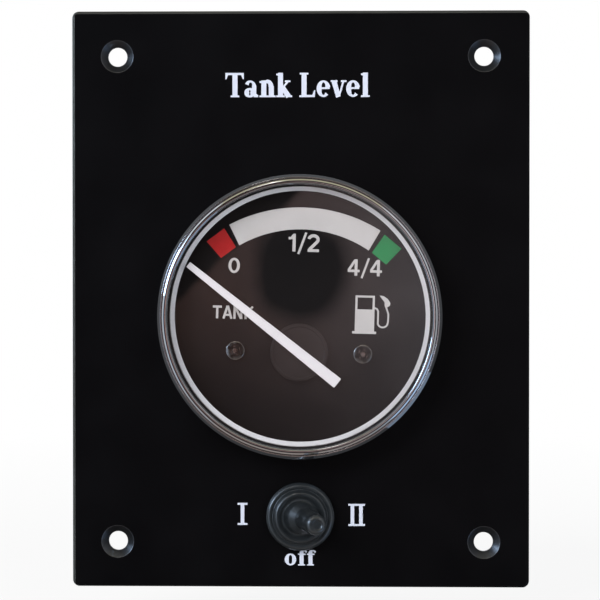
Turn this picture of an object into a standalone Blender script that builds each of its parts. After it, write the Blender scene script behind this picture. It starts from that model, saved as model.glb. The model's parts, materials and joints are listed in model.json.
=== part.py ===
"""A dual tank level indicator: a black steel panel with a round level gauge and a booted toggle switch.

X runs to the viewer's right, Y runs into the panel and Z runs up. The origin is the centre of the
four fixing holes on the panel's rear face. Lengths are in metres and angles in radians.
The toggle picks the tank whose sender drives the gauge, with off in the middle.
"""

import math

import bmesh
import bpy
from mathutils import Matrix, Vector

MM = 0.001

# Clearances
SEAT_GAP = 0.15 * MM
RADIAL_PLAY = 0.2 * MM
RUNNING_PLAY = 0.1 * MM
OVERCUT = 1.0 * MM
WELD = 1e-7

# Smoothness of round pieces
LARGE_ROUND = 40
MEDIUM_ROUND = 20
SMALL_ROUND = 12
CUTTER_PHASE = math.radians(4)
FILLET_STEPS = 2
BEZEL_FILLET_STEPS = 3
FINE_FILLET_STEPS = 4

# Shares of a wall or a radius that its fillets take
LIGHT_FILLET = 0.25
HALF_FILLET = 0.6
FULL_FILLET = 0.9

# Panel
PANEL_WIDTH = 96 * MM
PANEL_HEIGHT = 121 * MM
PANEL_THICKNESS = 2 * MM
PANEL_CORNER_RADIUS = 1.8 * MM
PANEL_EDGE_ROUND = 0.6 * MM
FIXING_MARGIN = 9.5 * MM
FIXING_HOLE_DIAMETER = 4.2 * MM
COUNTERSINK_DIAMETER = 6.8 * MM

# Gauge case and what closes its front
BEZEL_TO_BOOT = 5.35 * MM
GAUGE_TURN = math.radians(1.6)
CASE_WALL = 0.8 * MM
CASE_REAR_ROUND = 1.6 * MM
CASE_HOLE_PLAY = 0.35 * MM
BEZEL_OVERHANG = 3.7 * MM
BEZEL_WALL = 0.55 * MM
BEZEL_FACE_WIDTH = 1.9 * MM
BEZEL_LIP_REACH = 1.7 * MM
BEZEL_ROLL_WIDTH = 0.85 * MM
BEZEL_ROLL_HEIGHT = 0.45 * MM
BEZEL_GROOVE_WIDTH = 0.3 * MM
BEZEL_GROOVE_DEPTH = 0.25 * MM
BEZEL_BEAD_HEIGHT = 0.65 * MM
BEZEL_CREST_START = 0.3
BEZEL_CREST_END = 0.75
GLASS_THICKNESS = 1.6 * MM
GLASS_EDGE_CHAMFER = 0.2 * MM
GASKET_THICKNESS = 0.4 * MM
SPACER_WALL = 0.6 * MM
SPACER_HEIGHT = 1.9 * MM

# Dial and pointer
DIAL_THICKNESS = 0.8 * MM
PIVOT_DROP = 7.5 * MM
DIAL_SCREW_DIAMETER = 2.0 * MM
DIAL_SCREW_LENGTH = 4.2 * MM
DIAL_SCREW_HEAD_DIAMETER = 4.0 * MM
DIAL_SCREW_HEAD_HEIGHT = 0.9 * MM
SCREW_RECESS_WIDTH = 0.5 * MM
SCREW_RECESS_LENGTH = 2.2 * MM
SCREW_RECESS_DEPTH = 0.5 * MM
SCREW_STOP_ANGLE = math.radians(20)
POINTER_LENGTH = 30.1 * MM
POINTER_TAIL = 9.6 * MM
POINTER_TIP_WIDTH = 1.3 * MM
POINTER_TAIL_WIDTH = 2.4 * MM
POINTER_THICKNESS = 0.4 * MM
POINTER_REST = math.radians(53.1)
POINTER_DISC_DIAMETER = 12 * MM
POINTER_DISC_THICKNESS = 0.6 * MM
POINTER_LIFT = 0.45 * MM

# Movement: a magnet on the spindle inside two crossed coils
SPINDLE_DIAMETER = 1.2 * MM
BEARING_DIAMETER = 3.4 * MM
BEARING_FLANGE_DIAMETER = 5.2 * MM
BEARING_FLANGE_THICKNESS = 0.5 * MM
FRAME_OVERHANG = 3.2 * MM
FRAME_CLEARANCE = 0.95 * MM
FRAME_WIDTH = 12 * MM
FRAME_THICKNESS = 1.2 * MM
FRAME_BEND = 1.4 * MM
FRAME_FOOT = 3.4 * MM
PILLAR_DIAMETER = 3.8 * MM
PILLAR_LENGTH = 5.5 * MM
PILLAR_GAP = 1.6 * MM
PILLAR_SPIGOT_DIAMETER = 2.4 * MM
BOBBIN_CORE_ROUND = 0.85 * MM
COIL_THICKNESS = 1.15 * MM
COIL_WIDTH = 6.8 * MM
MAGNET_DIAMETER = 10.4 * MM
MAGNET_THICKNESS = 2.4 * MM
CHAMBER_PLAY = 1.0 * MM
CHAMBER_WALL = 1.0 * MM
BEARING_SEAT_LENGTH = 3.4 * MM

# Terminals and lamp in the case's rear wall
BOARD_THICKNESS = 1.6 * MM
TERMINALS = (("supply", -1), ("sender", 0), ("ground", 1))
TERMINAL_SPACE = 3.4 * MM
TERMINAL_TO_CLAMP = 2.7 * MM
STUD_DIAMETER = 4 * MM
STUD_HEAD_DIAMETER = 7 * MM
STUD_HEAD_HEIGHT = 2 * MM
TERMINAL_STUD_LENGTH = 14 * MM
INSULATOR_DIAMETER = 8.6 * MM
INSULATOR_HEIGHT = 2.5 * MM
INSULATOR_WALL = 0.9 * MM
NUT_ACROSS_FLATS = 7 * MM
NUT_HEIGHT = 3.2 * MM
LAMP_TO_CLAMP = 1.2 * MM
LAMP_HOLDER_DIAMETER = 11 * MM
LAMP_FLANGE_DIAMETER = 13.6 * MM
LAMP_FLANGE_THICKNESS = 1.4 * MM
LAMP_TAIL_DIAMETER = 8 * MM
LAMP_TAIL_LENGTH = 4.5 * MM
LAMP_SOCKET_LENGTH = 6 * MM
LAMP_BULB_DIAMETER = 5 * MM
LAMP_BULB_LENGTH = 10.5 * MM
LAMP_BULB_ROOM = 3.1 * MM

# Clamp that holds the gauge in the panel
CLAMP_STUD_INSET = 9.8 * MM
CLAMP_STUD_LENGTH = 13 * MM
CLAMP_WELD_DIAMETER = 6 * MM
CLAMP_WELD_HEIGHT = 0.8 * MM
CLAMP_WIDTH = 14 * MM
CLAMP_THICKNESS = 1.2 * MM
CLAMP_BEND = 2.0 * MM
CLAMP_SIDE_GAP = 1.6 * MM
CLAMP_REAR_GAP = 2.4 * MM
CLAMP_FOOT = 5 * MM
WASHER_DIAMETER = 9 * MM
WASHER_THICKNESS = 0.8 * MM
KNURLED_NUT_DIAMETER = 8.4 * MM
KNURLED_NUT_HEIGHT = 4 * MM
KNURL_DEPTH = 0.35 * MM
KNURL_COUNT = 16

# Toggle switch
SWITCH_MARGIN = 15 * MM
BUSHING_WALL = 0.4 * MM
BUSHING_RISE = 2.4 * MM
BUSHING_MOUTH_FLARE = 0.35 * MM
BUSHING_REAR_FLARE = 0.55 * MM
LOCK_WASHER_MARGIN = 1.2 * MM
LOCK_WASHER_THICKNESS = 0.6 * MM
LOCK_WASHER_TOOTH = 0.7 * MM
LOCK_WASHER_TEETH = 10
SWITCH_NUT_WALL = 1.0 * MM
BACK_NUT_HEIGHT = 1.7 * MM
BOOT_NUT_HEIGHT = 2.0 * MM
COVER_THICKNESS = 0.5 * MM
COVER_LEG = 7 * MM
COVER_BEND = 0.6 * MM
SWITCH_BODY_HEIGHT = 7.9 * MM
SWITCH_BODY_WALL = 1.0 * MM
SWITCH_BODY_FLOOR = 1.6 * MM
SWITCH_BODY_ROUND = 0.6 * MM
LUG_SPACING = 4.7 * MM
LUG_WIDTH = 2.0 * MM
LUG_THICKNESS = 0.8 * MM
LUG_REACH = 4.6 * MM
LUG_STAND = 1.7 * MM
LUG_HOLE_DIAMETER = 1.2 * MM
LEVER_TILT = math.radians(13)
LEVER_PIVOT_DEPTH = 0.5 * MM
LEVER_LENGTH = 15.2 * MM
LEVER_TIP_DIAMETER = 2.9 * MM
LEVER_NECK_DIAMETER = 2.2 * MM
LEVER_BALL_DIAMETER = 3.9 * MM
LEVER_TAIL_DIAMETER = 2.6 * MM
LEVER_TAIL_LENGTH = 7.0 * MM
LEVER_TAIL_BORE_DIAMETER = 1.7 * MM
LEVER_TAIL_BORE_DEPTH = 4.5 * MM
TOGGLE_PIN_DIAMETER = 0.9 * MM
TOGGLE_PIN_LENGTH = 5.4 * MM
PLUNGER_HEAD_DIAMETER = 1.9 * MM
PLUNGER_STEM_LENGTH = 2.2 * MM
PLUNGER_HEAD_LENGTH = 3.2 * MM
SPRING_WIRE_DIAMETER = 0.24 * MM
SPRING_TURNS = 5
SPRING_POINTS_PER_TURN = 9
ROCKER_THICKNESS = 0.5 * MM
ROCKER_WIDTH = 3.0 * MM
ROCKER_RISE = 1.6 * MM
ROCKER_TILT = math.radians(7)
ROCKER_CLEARANCE = 0.45 * MM
ROCKER_SIDE_PLAY = 0.5 * MM

# Rubber boot over the toggle
BOOT_DIAMETER = 14.3 * MM
BOOT_FLANGE_HEIGHT = 2.6 * MM
BOOT_GROOVE_DIAMETER = 11.4 * MM
BOOT_RING_DIAMETER = 10 * MM
BOOT_RING_HEIGHT = 3.7 * MM
BOOT_VALLEY_DIAMETER = 8 * MM
BOOT_SLEEVE_DIAMETER = 6.8 * MM
BOOT_TIP_DIAMETER = 4.1 * MM
BOOT_TIP_WALL = 1.6 * MM
BOOT_ROOF_WALL = 0.6 * MM
BOOT_GROOVE_SLOPE = 0.8
BOOT_WAIST = (0.3, 0.45)
BOOT_SHOULDER = (0.6, 0.88)

# The movement, from the magnet outwards to the case
COIL_LAYER = COIL_THICKNESS + SEAT_GAP
BOBBIN_SIZE = MAGNET_DIAMETER + 2 * (CHAMBER_PLAY + CHAMBER_WALL + 2 * COIL_LAYER)
BOBBIN_DEPTH = MAGNET_THICKNESS + 2 * (CHAMBER_PLAY + BEARING_SEAT_LENGTH + 2 * COIL_LAYER)
DIAL_SCREW_SPACING = BOBBIN_SIZE + PILLAR_DIAMETER + 2 * PILLAR_GAP
FRAME_TOE = DIAL_SCREW_SPACING / 2 + FRAME_OVERHANG + FRAME_FOOT
CASE_INNER_RADIUS = math.hypot(FRAME_TOE, PIVOT_DROP + FRAME_WIDTH / 2) + FRAME_CLEARANCE
CASE_RADIUS = CASE_INNER_RADIUS + CASE_WALL
CLAMP_STUD_SPACING = 2 * (CASE_RADIUS - CLAMP_STUD_INSET)
TERMINAL_SPACING = INSULATOR_DIAMETER + TERMINAL_SPACE
TERMINAL_RISE = (CLAMP_WIDTH + INSULATOR_DIAMETER) / 2 + TERMINAL_TO_CLAMP
LAMP_DROP = (CLAMP_WIDTH + LAMP_FLANGE_DIAMETER) / 2 + LAMP_TO_CLAMP

# The switch, from the lever's ball outwards
BUSHING_BORE_DIAMETER = LEVER_BALL_DIAMETER + 2 * RUNNING_PLAY
BUSHING_MOUTH_DIAMETER = BUSHING_BORE_DIAMETER + 2 * BUSHING_MOUTH_FLARE
BUSHING_REAR_BORE_DIAMETER = BUSHING_BORE_DIAMETER + 2 * BUSHING_REAR_FLARE
BUSHING_DIAMETER = BUSHING_REAR_BORE_DIAMETER + 2 * BUSHING_WALL
SWITCH_NUT_ACROSS_FLATS = BUSHING_DIAMETER + 2 * SWITCH_NUT_WALL
LOCK_WASHER_DIAMETER = SWITCH_NUT_ACROSS_FLATS + 2 * LOCK_WASHER_MARGIN
SWITCH_BODY_WIDTH = 2 * (LUG_SPACING + LUG_THICKNESS / 2 + ROCKER_SIDE_PLAY + SWITCH_BODY_WALL)

# Places on the panel, from its lower edge upwards
BEZEL_RADIUS = CASE_RADIUS + BEZEL_OVERHANG
SWITCH_TO_GAUGE = BEZEL_RADIUS + BEZEL_TO_BOOT + BOOT_DIAMETER / 2
FIXING_SPACING_X = PANEL_WIDTH - 2 * FIXING_MARGIN
FIXING_SPACING_Z = PANEL_HEIGHT - 2 * FIXING_MARGIN
SWITCH_DROP = PANEL_HEIGHT / 2 - SWITCH_MARGIN
GAUGE_DROP = SWITCH_DROP - SWITCH_TO_GAUGE

# Faces that follow from the stack, front to rear
PANEL_FRONT = -PANEL_THICKNESS
LIP_REAR = PANEL_FRONT - SEAT_GAP
LIP_FRONT = LIP_REAR - BEZEL_WALL
FLANGE_REAR = LIP_FRONT - SEAT_GAP
FLANGE_FRONT = FLANGE_REAR - CASE_WALL
DIAL_REAR = FLANGE_FRONT - SEAT_GAP
DIAL_FRONT = DIAL_REAR - DIAL_THICKNESS
SPACER_REAR = DIAL_FRONT - SEAT_GAP
SPACER_FRONT = SPACER_REAR - SPACER_HEIGHT
GASKET_REAR = SPACER_FRONT - SEAT_GAP
GASKET_FRONT = GASKET_REAR - GASKET_THICKNESS
GLASS_REAR = GASKET_FRONT - SEAT_GAP
GLASS_FRONT = GLASS_REAR - GLASS_THICKNESS
BEZEL_SEAT = GLASS_FRONT - SEAT_GAP
DISC_REAR = DIAL_FRONT - POINTER_LIFT
DISC_FRONT = DISC_REAR - POINTER_DISC_THICKNESS
POINTER_REAR = DISC_FRONT - SEAT_GAP
POINTER_FRONT = POINTER_REAR - POINTER_THICKNESS
PILLAR_FRONT = DIAL_REAR + SEAT_GAP
FRAME_FRONT = PILLAR_FRONT + PILLAR_LENGTH + SEAT_GAP
FRAME_REAR = FRAME_FRONT + FRAME_THICKNESS
BOBBIN_FRONT = FRAME_REAR + SEAT_GAP
BOBBIN_MIDDLE = BOBBIN_FRONT + BOBBIN_DEPTH / 2
BOBBIN_REAR = BOBBIN_FRONT + BOBBIN_DEPTH
BOARD_REAR = BOBBIN_REAR + LAMP_BULB_ROOM + LAMP_BULB_LENGTH + SEAT_GAP
BOARD_FRONT = BOARD_REAR - BOARD_THICKNESS
CASE_FLOOR = BOARD_REAR + SEAT_GAP
CASE_REAR = CASE_FLOOR + CASE_WALL
CLAMP_FRONT = CASE_REAR + CLAMP_REAR_GAP
CLAMP_REAR = CLAMP_FRONT + CLAMP_THICKNESS
WASHER_REAR = CLAMP_REAR + SEAT_GAP + WASHER_THICKNESS
LOCK_WASHER_REAR = SEAT_GAP + LOCK_WASHER_THICKNESS
BACK_NUT_REAR = LOCK_WASHER_REAR + SEAT_GAP + BACK_NUT_HEIGHT
COVER_FRONT = BACK_NUT_REAR + 2 * SEAT_GAP
COVER_REAR = COVER_FRONT + COVER_THICKNESS
BODY_FRONT = COVER_REAR + SEAT_GAP
BUSHING_FRONT = PANEL_FRONT - BUSHING_RISE
BUSHING_REAR = COVER_FRONT - SEAT_GAP
LEVER_PIVOT = PANEL_FRONT + LEVER_PIVOT_DEPTH
PLUNGER_REACH = LEVER_TAIL_LENGTH + PLUNGER_HEAD_LENGTH
ROCKER_PIVOT = LEVER_PIVOT + PLUNGER_REACH + ROCKER_CLEARANCE + ROCKER_THICKNESS / 2
BODY_FLOOR = ROCKER_PIVOT + ROCKER_THICKNESS / 2 + LUG_STAND
BODY_REAR = BODY_FLOOR + SWITCH_BODY_FLOOR

# Radii that follow from what holds each piece
BEZEL_INNER_RADIUS = BEZEL_RADIUS - BEZEL_WALL
WINDOW_RADIUS = BEZEL_RADIUS - BEZEL_FACE_WIDTH
RIM_RADIUS = BEZEL_INNER_RADIUS - RADIAL_PLAY
RIM_INNER_RADIUS = RIM_RADIUS - CASE_WALL
SPACER_RADIUS = RIM_INNER_RADIUS - RADIAL_PLAY
SPACER_INNER_RADIUS = SPACER_RADIUS - SPACER_WALL
STUD_HOLE_RADIUS = STUD_DIAMETER / 2 + RADIAL_PLAY
INSULATOR_SHOULDER_RADIUS = STUD_HOLE_RADIUS + INSULATOR_WALL
BEARING_HOLE_RADIUS = BEARING_DIAMETER / 2 + RADIAL_PLAY
BUSHING_HOLE_RADIUS = BUSHING_DIAMETER / 2 + RADIAL_PLAY

FINISHES = {
    "black_powder_coat": ((0.012, 0.012, 0.014), 0.42, 0.0),
    "chrome": ((0.78, 0.79, 0.80), 0.08, 1.0),
    "clear_glass": ((0.92, 0.95, 0.95), 0.03, 0.0),
    "black_rubber": ((0.020, 0.024, 0.027), 0.55, 0.0),
    "zinc_steel": ((0.58, 0.57, 0.53), 0.32, 1.0),
    "black_steel": ((0.02, 0.02, 0.02), 0.45, 0.3),
    "dial_black": ((0.016, 0.014, 0.015), 0.5, 0.0),
    "pointer_white": ((0.86, 0.86, 0.86), 0.45, 0.0),
    "brass": ((0.74, 0.55, 0.25), 0.28, 1.0),
    "bobbin_nylon": ((0.70, 0.68, 0.60), 0.5, 0.0),
    "enamelled_copper": ((0.55, 0.20, 0.08), 0.35, 0.6),
    "ferrite": ((0.09, 0.09, 0.10), 0.5, 0.2),
    "phenolic": ((0.16, 0.07, 0.04), 0.5, 0.0),
    "silver_plate": ((0.80, 0.79, 0.76), 0.2, 1.0),
}


def clear_scene():
    """Removes every object of the scene that the script starts in."""
    for old in list(bpy.data.objects):
        bpy.data.objects.remove(old, do_unlink=True)


def finish_material(finish):
    """The material of one finish, made the first time that it is asked for."""
    found = bpy.data.materials.get(finish)
    if found:
        return found
    colour, roughness, metallic = FINISHES[finish]
    made = bpy.data.materials.new(finish)
    made.use_nodes = True
    shader = made.node_tree.nodes["Principled BSDF"]
    shader.inputs["Base Color"].default_value = (*colour, 1)
    shader.inputs["Roughness"].default_value = roughness
    shader.inputs["Metallic"].default_value = metallic
    return made


def empty(name, parent=None, place=(0, 0, 0), turn=(0, 0, 0)):
    """An axis that pieces hang on."""
    axis = bpy.data.objects.new(name, None)
    axis.empty_display_size = 0.005
    axis.location = place
    axis.rotation_euler = turn
    axis.parent = parent
    bpy.context.scene.collection.objects.link(axis)
    return axis


def piece(name, shape, finish, parent=None, place=(0, 0, 0), turn=(0, 0, 0)):
    """An object from a bmesh, with its doubles merged and its faces turned outwards."""
    bmesh.ops.remove_doubles(shape, verts=shape.verts, dist=WELD)
    bmesh.ops.recalc_face_normals(shape, faces=shape.faces)
    mesh = bpy.data.meshes.new(name)
    shape.to_mesh(mesh)
    shape.free()
    mesh.materials.append(finish_material(finish))
    mesh.shade_smooth()
    mesh.set_sharp_from_angle(angle=math.radians(32))
    made = bpy.data.objects.new(name, mesh)
    made.location = place
    made.rotation_euler = turn
    made.parent = parent
    bpy.context.scene.collection.objects.link(made)
    return made


def combine(target, other, operation):
    """Adds a Boolean modifier whose other object is a helper that is not rendered."""
    other.hide_render = True
    other.display_type = "WIRE"
    modifier = target.modifiers.new(other.name, "BOOLEAN")
    modifier.operation = operation
    modifier.solver = "EXACT"
    modifier.object = other


def cut(target, *cutters):
    """Cuts each helper out of the target."""
    for cutter in cutters:
        combine(target, cutter, "DIFFERENCE")


def filleted(corners, steps=FILLET_STEPS):
    """The closed outline through (u, v, radius) corners, each rounded by an arc of its radius."""
    outline = []
    for i, (u, v, radius) in enumerate(corners):
        corner = Vector((u, v))
        if radius == 0:
            outline.append((u, v))
            continue
        back = (Vector(corners[i - 1][:2]) - corner).normalized()
        ahead = (Vector(corners[(i + 1) % len(corners)][:2]) - corner).normalized()
        half = back.angle(ahead) / 2
        centre = corner + (back + ahead).normalized() * radius / math.sin(half)
        start = corner + back * radius / math.tan(half) - centre
        sweep = (math.pi - 2 * half) * (1 if back.cross(ahead) < 0 else -1)
        for step in range(steps + 1):
            spoke = Matrix.Rotation(sweep * step / steps, 2) @ start
            outline.append(tuple(centre + spoke))
    return outline


def rectangle(width, height, radius=0.0):
    """The corners of a centred rectangle, for filleted()."""
    u, v = width / 2, height / 2
    return [(-u, -v, radius), (u, -v, radius), (u, v, radius), (-u, v, radius)]


def circle(radius, steps, phase=0.0):
    """The points of a circle."""
    turns = [phase + math.tau * i / steps for i in range(steps)]
    return [(radius * math.cos(turn), radius * math.sin(turn)) for turn in turns]


def on_plane(point, depth, along):
    """A point of an outline, at a depth along the axis that the outline faces."""
    u, v = point
    return {"X": (depth, u, v), "Y": (u, depth, v), "Z": (u, v, depth)}[along]


def turned(name, profile, finish, steps, **placing):
    """A solid of revolution about Y from (radius, depth) pairs round its half section."""
    shape = bmesh.new()
    ring = [shape.verts.new((radius, depth, 0)) for radius, depth in profile]
    pairs = zip(ring, ring[1:] + ring[:1])
    edges = [shape.edges.new(pair) for pair in pairs if max(end.co.x for end in pair) > WELD]
    bmesh.ops.spin(
        shape,
        geom=ring + edges,
        cent=(0, 0, 0),
        axis=(0, 1, 0),
        angle=math.tau,
        steps=steps,
        use_merge=True,
    )
    return piece(name, shape, finish, **placing)


def extruded(name, outline, start, end, finish, along="Y", start_round=0.0, **placing):
    """A prism between two depths, whose edge at the start may be rounded."""
    shape = bmesh.new()
    near = [shape.verts.new(on_plane(point, start, along)) for point in outline]
    far = [shape.verts.new(on_plane(point, end, along)) for point in outline]
    front = shape.faces.new(near)
    shape.faces.new(far)
    for i in range(len(outline)):
        j = (i + 1) % len(outline)
        shape.faces.new((near[i], near[j], far[j], far[i]))
    bmesh.ops.recalc_face_normals(shape, faces=shape.faces)
    if start_round:
        edges = list(front.edges)
        bmesh.ops.bevel(
            shape, geom=edges, offset=start_round, segments=FILLET_STEPS, profile=0.5, affect="EDGES"
        )
    return piece(name, shape, finish, **placing)


def ringed(name, outer, inner, start, end, finish, along="Y", **placing):
    """A prism with a hole: two outlines of as many points, joined between two depths."""
    shape = bmesh.new()
    loops = [
        [shape.verts.new(on_plane(point, depth, along)) for point in outline]
        for outline, depth in ((outer, start), (outer, end), (inner, end), (inner, start))
    ]
    for first, second in zip(loops, loops[1:] + loops[:1]):
        for i in range(len(outer)):
            j = (i + 1) % len(outer)
            shape.faces.new((first[i], first[j], second[j], second[i]))
    return piece(name, shape, finish, **placing)


def bent_strip(name, path, thickness, bend, width, finish, **placing):
    """A strip bent along a path of (x, y) corners on its middle line, as wide as width along Z."""
    ends_sharp = [(u, v, 0 if i in (0, len(path) - 1) else bend) for i, (u, v) in enumerate(path)]
    middle = [Vector(point) for point in filleted(ends_sharp)]
    left, right = [], []
    for i, point in enumerate(middle):
        before = point - middle[i - 1] if i else middle[1] - point
        after = middle[i + 1] - point if i + 1 < len(middle) else point - middle[i - 1]
        aim = (before.normalized() + after.normalized()).normalized()
        reach = thickness / 2 / max(aim.dot(before.normalized()), 0.5)
        side = Vector((-aim.y, aim.x)) * reach
        left.append(tuple(point + side))
        right.append(tuple(point - side))
    outline = left + right[::-1]
    return extruded(name, outline, -width / 2, width / 2, finish, along="Z", **placing)


def rod_cutter(name, radius, start, end, steps=SMALL_ROUND, **placing):
    """A cylinder along Y for cutting a hole."""
    profile = [(0, start), (radius, start), (radius, end), (0, end)]
    placing.setdefault("turn", (0, CUTTER_PHASE, 0))
    return turned(name, profile, "zinc_steel", steps, **placing)


def hex_nut(name, across_flats, bore_radius, start, end, finish, **placing):
    """A hexagon nut with chamfered corners: a turned blank cut to a hexagon."""
    corner = across_flats / 2 / math.cos(math.pi / 6)
    chamfer = corner - across_flats / 2
    profile = filleted(
        [
            (bore_radius, start, 0),
            (across_flats / 2, start, 0),
            (corner + chamfer, start + chamfer, 0),
            (corner + chamfer, end - chamfer, 0),
            (across_flats / 2, end, 0),
            (bore_radius, end, 0),
        ]
    )
    nut = turned(name, profile, finish, SMALL_ROUND, **placing)
    hexagon = extruded(
        f"{name}_hexagon", circle(corner, 6), start - OVERCUT, end + OVERCUT, finish, **placing
    )
    combine(nut, hexagon, "INTERSECT")
    return nut


def make_panel():
    """The flat plate, with its countersunk fixing holes and the holes for the gauge and the switch."""
    outline = filleted(rectangle(PANEL_WIDTH, PANEL_HEIGHT, PANEL_CORNER_RADIUS), FINE_FILLET_STEPS)
    panel = extruded(
        "panel", outline, PANEL_FRONT, 0, "black_powder_coat", start_round=PANEL_EDGE_ROUND
    )
    hole = FIXING_HOLE_DIAMETER / 2
    sink = COUNTERSINK_DIAMETER / 2
    screw_seat = [
        (0, PANEL_FRONT - OVERCUT),
        (sink + OVERCUT, PANEL_FRONT - OVERCUT),
        (hole, PANEL_FRONT + sink - hole),
        (hole, OVERCUT),
        (0, OVERCUT),
    ]
    for side_x in (-1, 1):
        for side_z in (-1, 1):
            place = (side_x * FIXING_SPACING_X / 2, 0, side_z * FIXING_SPACING_Z / 2)
            name = f"fixing_hole_{side_x}_{side_z}"
            cut(panel, turned(name, screw_seat, "zinc_steel", MEDIUM_ROUND, place=place))
    start, end = PANEL_FRONT - OVERCUT, OVERCUT
    gauge_hole = rod_cutter(
        "gauge_hole", CASE_RADIUS + CASE_HOLE_PLAY, start, end, LARGE_ROUND, place=(0, 0, -GAUGE_DROP)
    )
    switch_hole = rod_cutter(
        "switch_hole", BUSHING_HOLE_RADIUS, start, end, MEDIUM_ROUND, place=(0, 0, -SWITCH_DROP)
    )
    cut(panel, gauge_hole, switch_hole)


def make_case(gauge):
    """The drawn steel cup with its flange and rim, pierced at the rear for the terminals and the lamp."""
    profile = filleted(
        [
            (0, CASE_REAR, 0),
            (CASE_RADIUS, CASE_REAR, CASE_REAR_ROUND),
            (CASE_RADIUS, FLANGE_REAR, 0),
            (RIM_RADIUS, FLANGE_REAR, CASE_WALL / 2),
            (RIM_RADIUS, SPACER_FRONT, 0),
            (RIM_INNER_RADIUS, SPACER_FRONT, 0),
            (RIM_INNER_RADIUS, FLANGE_FRONT, 0),
            (CASE_INNER_RADIUS, FLANGE_FRONT, 0),
            (CASE_INNER_RADIUS, CASE_FLOOR, CASE_REAR_ROUND - CASE_WALL),
            (0, CASE_FLOOR, 0),
        ]
    )
    case = turned("gauge_case", profile, "zinc_steel", LARGE_ROUND, parent=gauge)
    start, end = CASE_FLOOR - OVERCUT, CASE_REAR + OVERCUT
    for name, side in TERMINALS:
        place = (side * TERMINAL_SPACING, 0, TERMINAL_RISE)
        radius = INSULATOR_SHOULDER_RADIUS + RADIAL_PLAY
        cut(case, rod_cutter(f"case_hole_{name}", radius, start, end, parent=gauge, place=place))
    radius = LAMP_HOLDER_DIAMETER / 2 + RADIAL_PLAY
    place = (0, 0, -LAMP_DROP)
    cut(case, rod_cutter("case_hole_lamp", radius, start, end, MEDIUM_ROUND, parent=gauge, place=place))


def make_bezel(gauge):
    """The rolled chrome ring that holds glass and case rim together, and the rings inside it."""
    lip = BEZEL_INNER_RADIUS - BEZEL_LIP_REACH
    roll = BEZEL_SEAT - BEZEL_ROLL_HEIGHT
    bead = BEZEL_SEAT - BEZEL_BEAD_HEIGHT
    groove_outer = BEZEL_RADIUS - BEZEL_ROLL_WIDTH
    groove_inner = groove_outer - BEZEL_GROOVE_WIDTH
    bead_width = groove_inner - WINDOW_RADIUS
    profile = filleted(
        [
            (lip, LIP_REAR, 0),
            (BEZEL_RADIUS, LIP_REAR, BEZEL_WALL * HALF_FILLET),
            (BEZEL_RADIUS, roll, BEZEL_ROLL_WIDTH * FULL_FILLET),
            (groove_outer, roll, 0),
            ((groove_outer + groove_inner) / 2, roll + BEZEL_GROOVE_DEPTH, 0),
            (groove_inner, (roll + bead) / 2, 0),
            (groove_inner - bead_width * BEZEL_CREST_START, bead, 0),
            (groove_inner - bead_width * BEZEL_CREST_END, bead, 0),
            (WINDOW_RADIUS, (bead + BEZEL_SEAT) / 2, 0),
            (WINDOW_RADIUS, BEZEL_SEAT, 0),
            (BEZEL_INNER_RADIUS, BEZEL_SEAT, 0),
            (BEZEL_INNER_RADIUS, LIP_FRONT, 0),
            (lip, LIP_FRONT, 0),
        ],
        BEZEL_FILLET_STEPS,
    )
    turned("bezel", profile, "chrome", LARGE_ROUND, parent=gauge)
    glass = [
        (0, GLASS_REAR, 0),
        (RIM_RADIUS, GLASS_REAR, GLASS_EDGE_CHAMFER),
        (RIM_RADIUS, GLASS_FRONT, GLASS_EDGE_CHAMFER),
        (0, GLASS_FRONT, 0),
    ]
    turned("glass", filleted(glass, 1), "clear_glass", LARGE_ROUND, parent=gauge)
    gasket = [
        (SPACER_INNER_RADIUS, GASKET_REAR),
        (RIM_RADIUS, GASKET_REAR),
        (RIM_RADIUS, GASKET_FRONT),
        (SPACER_INNER_RADIUS, GASKET_FRONT),
    ]
    turned("glass_gasket", gasket, "black_rubber", LARGE_ROUND, parent=gauge)
    spacer = [
        (SPACER_INNER_RADIUS, SPACER_REAR),
        (SPACER_RADIUS, SPACER_REAR),
        (SPACER_RADIUS, SPACER_FRONT),
        (SPACER_INNER_RADIUS, SPACER_FRONT),
    ]
    turned("spacer_ring", spacer, "black_steel", LARGE_ROUND, parent=gauge)


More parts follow.
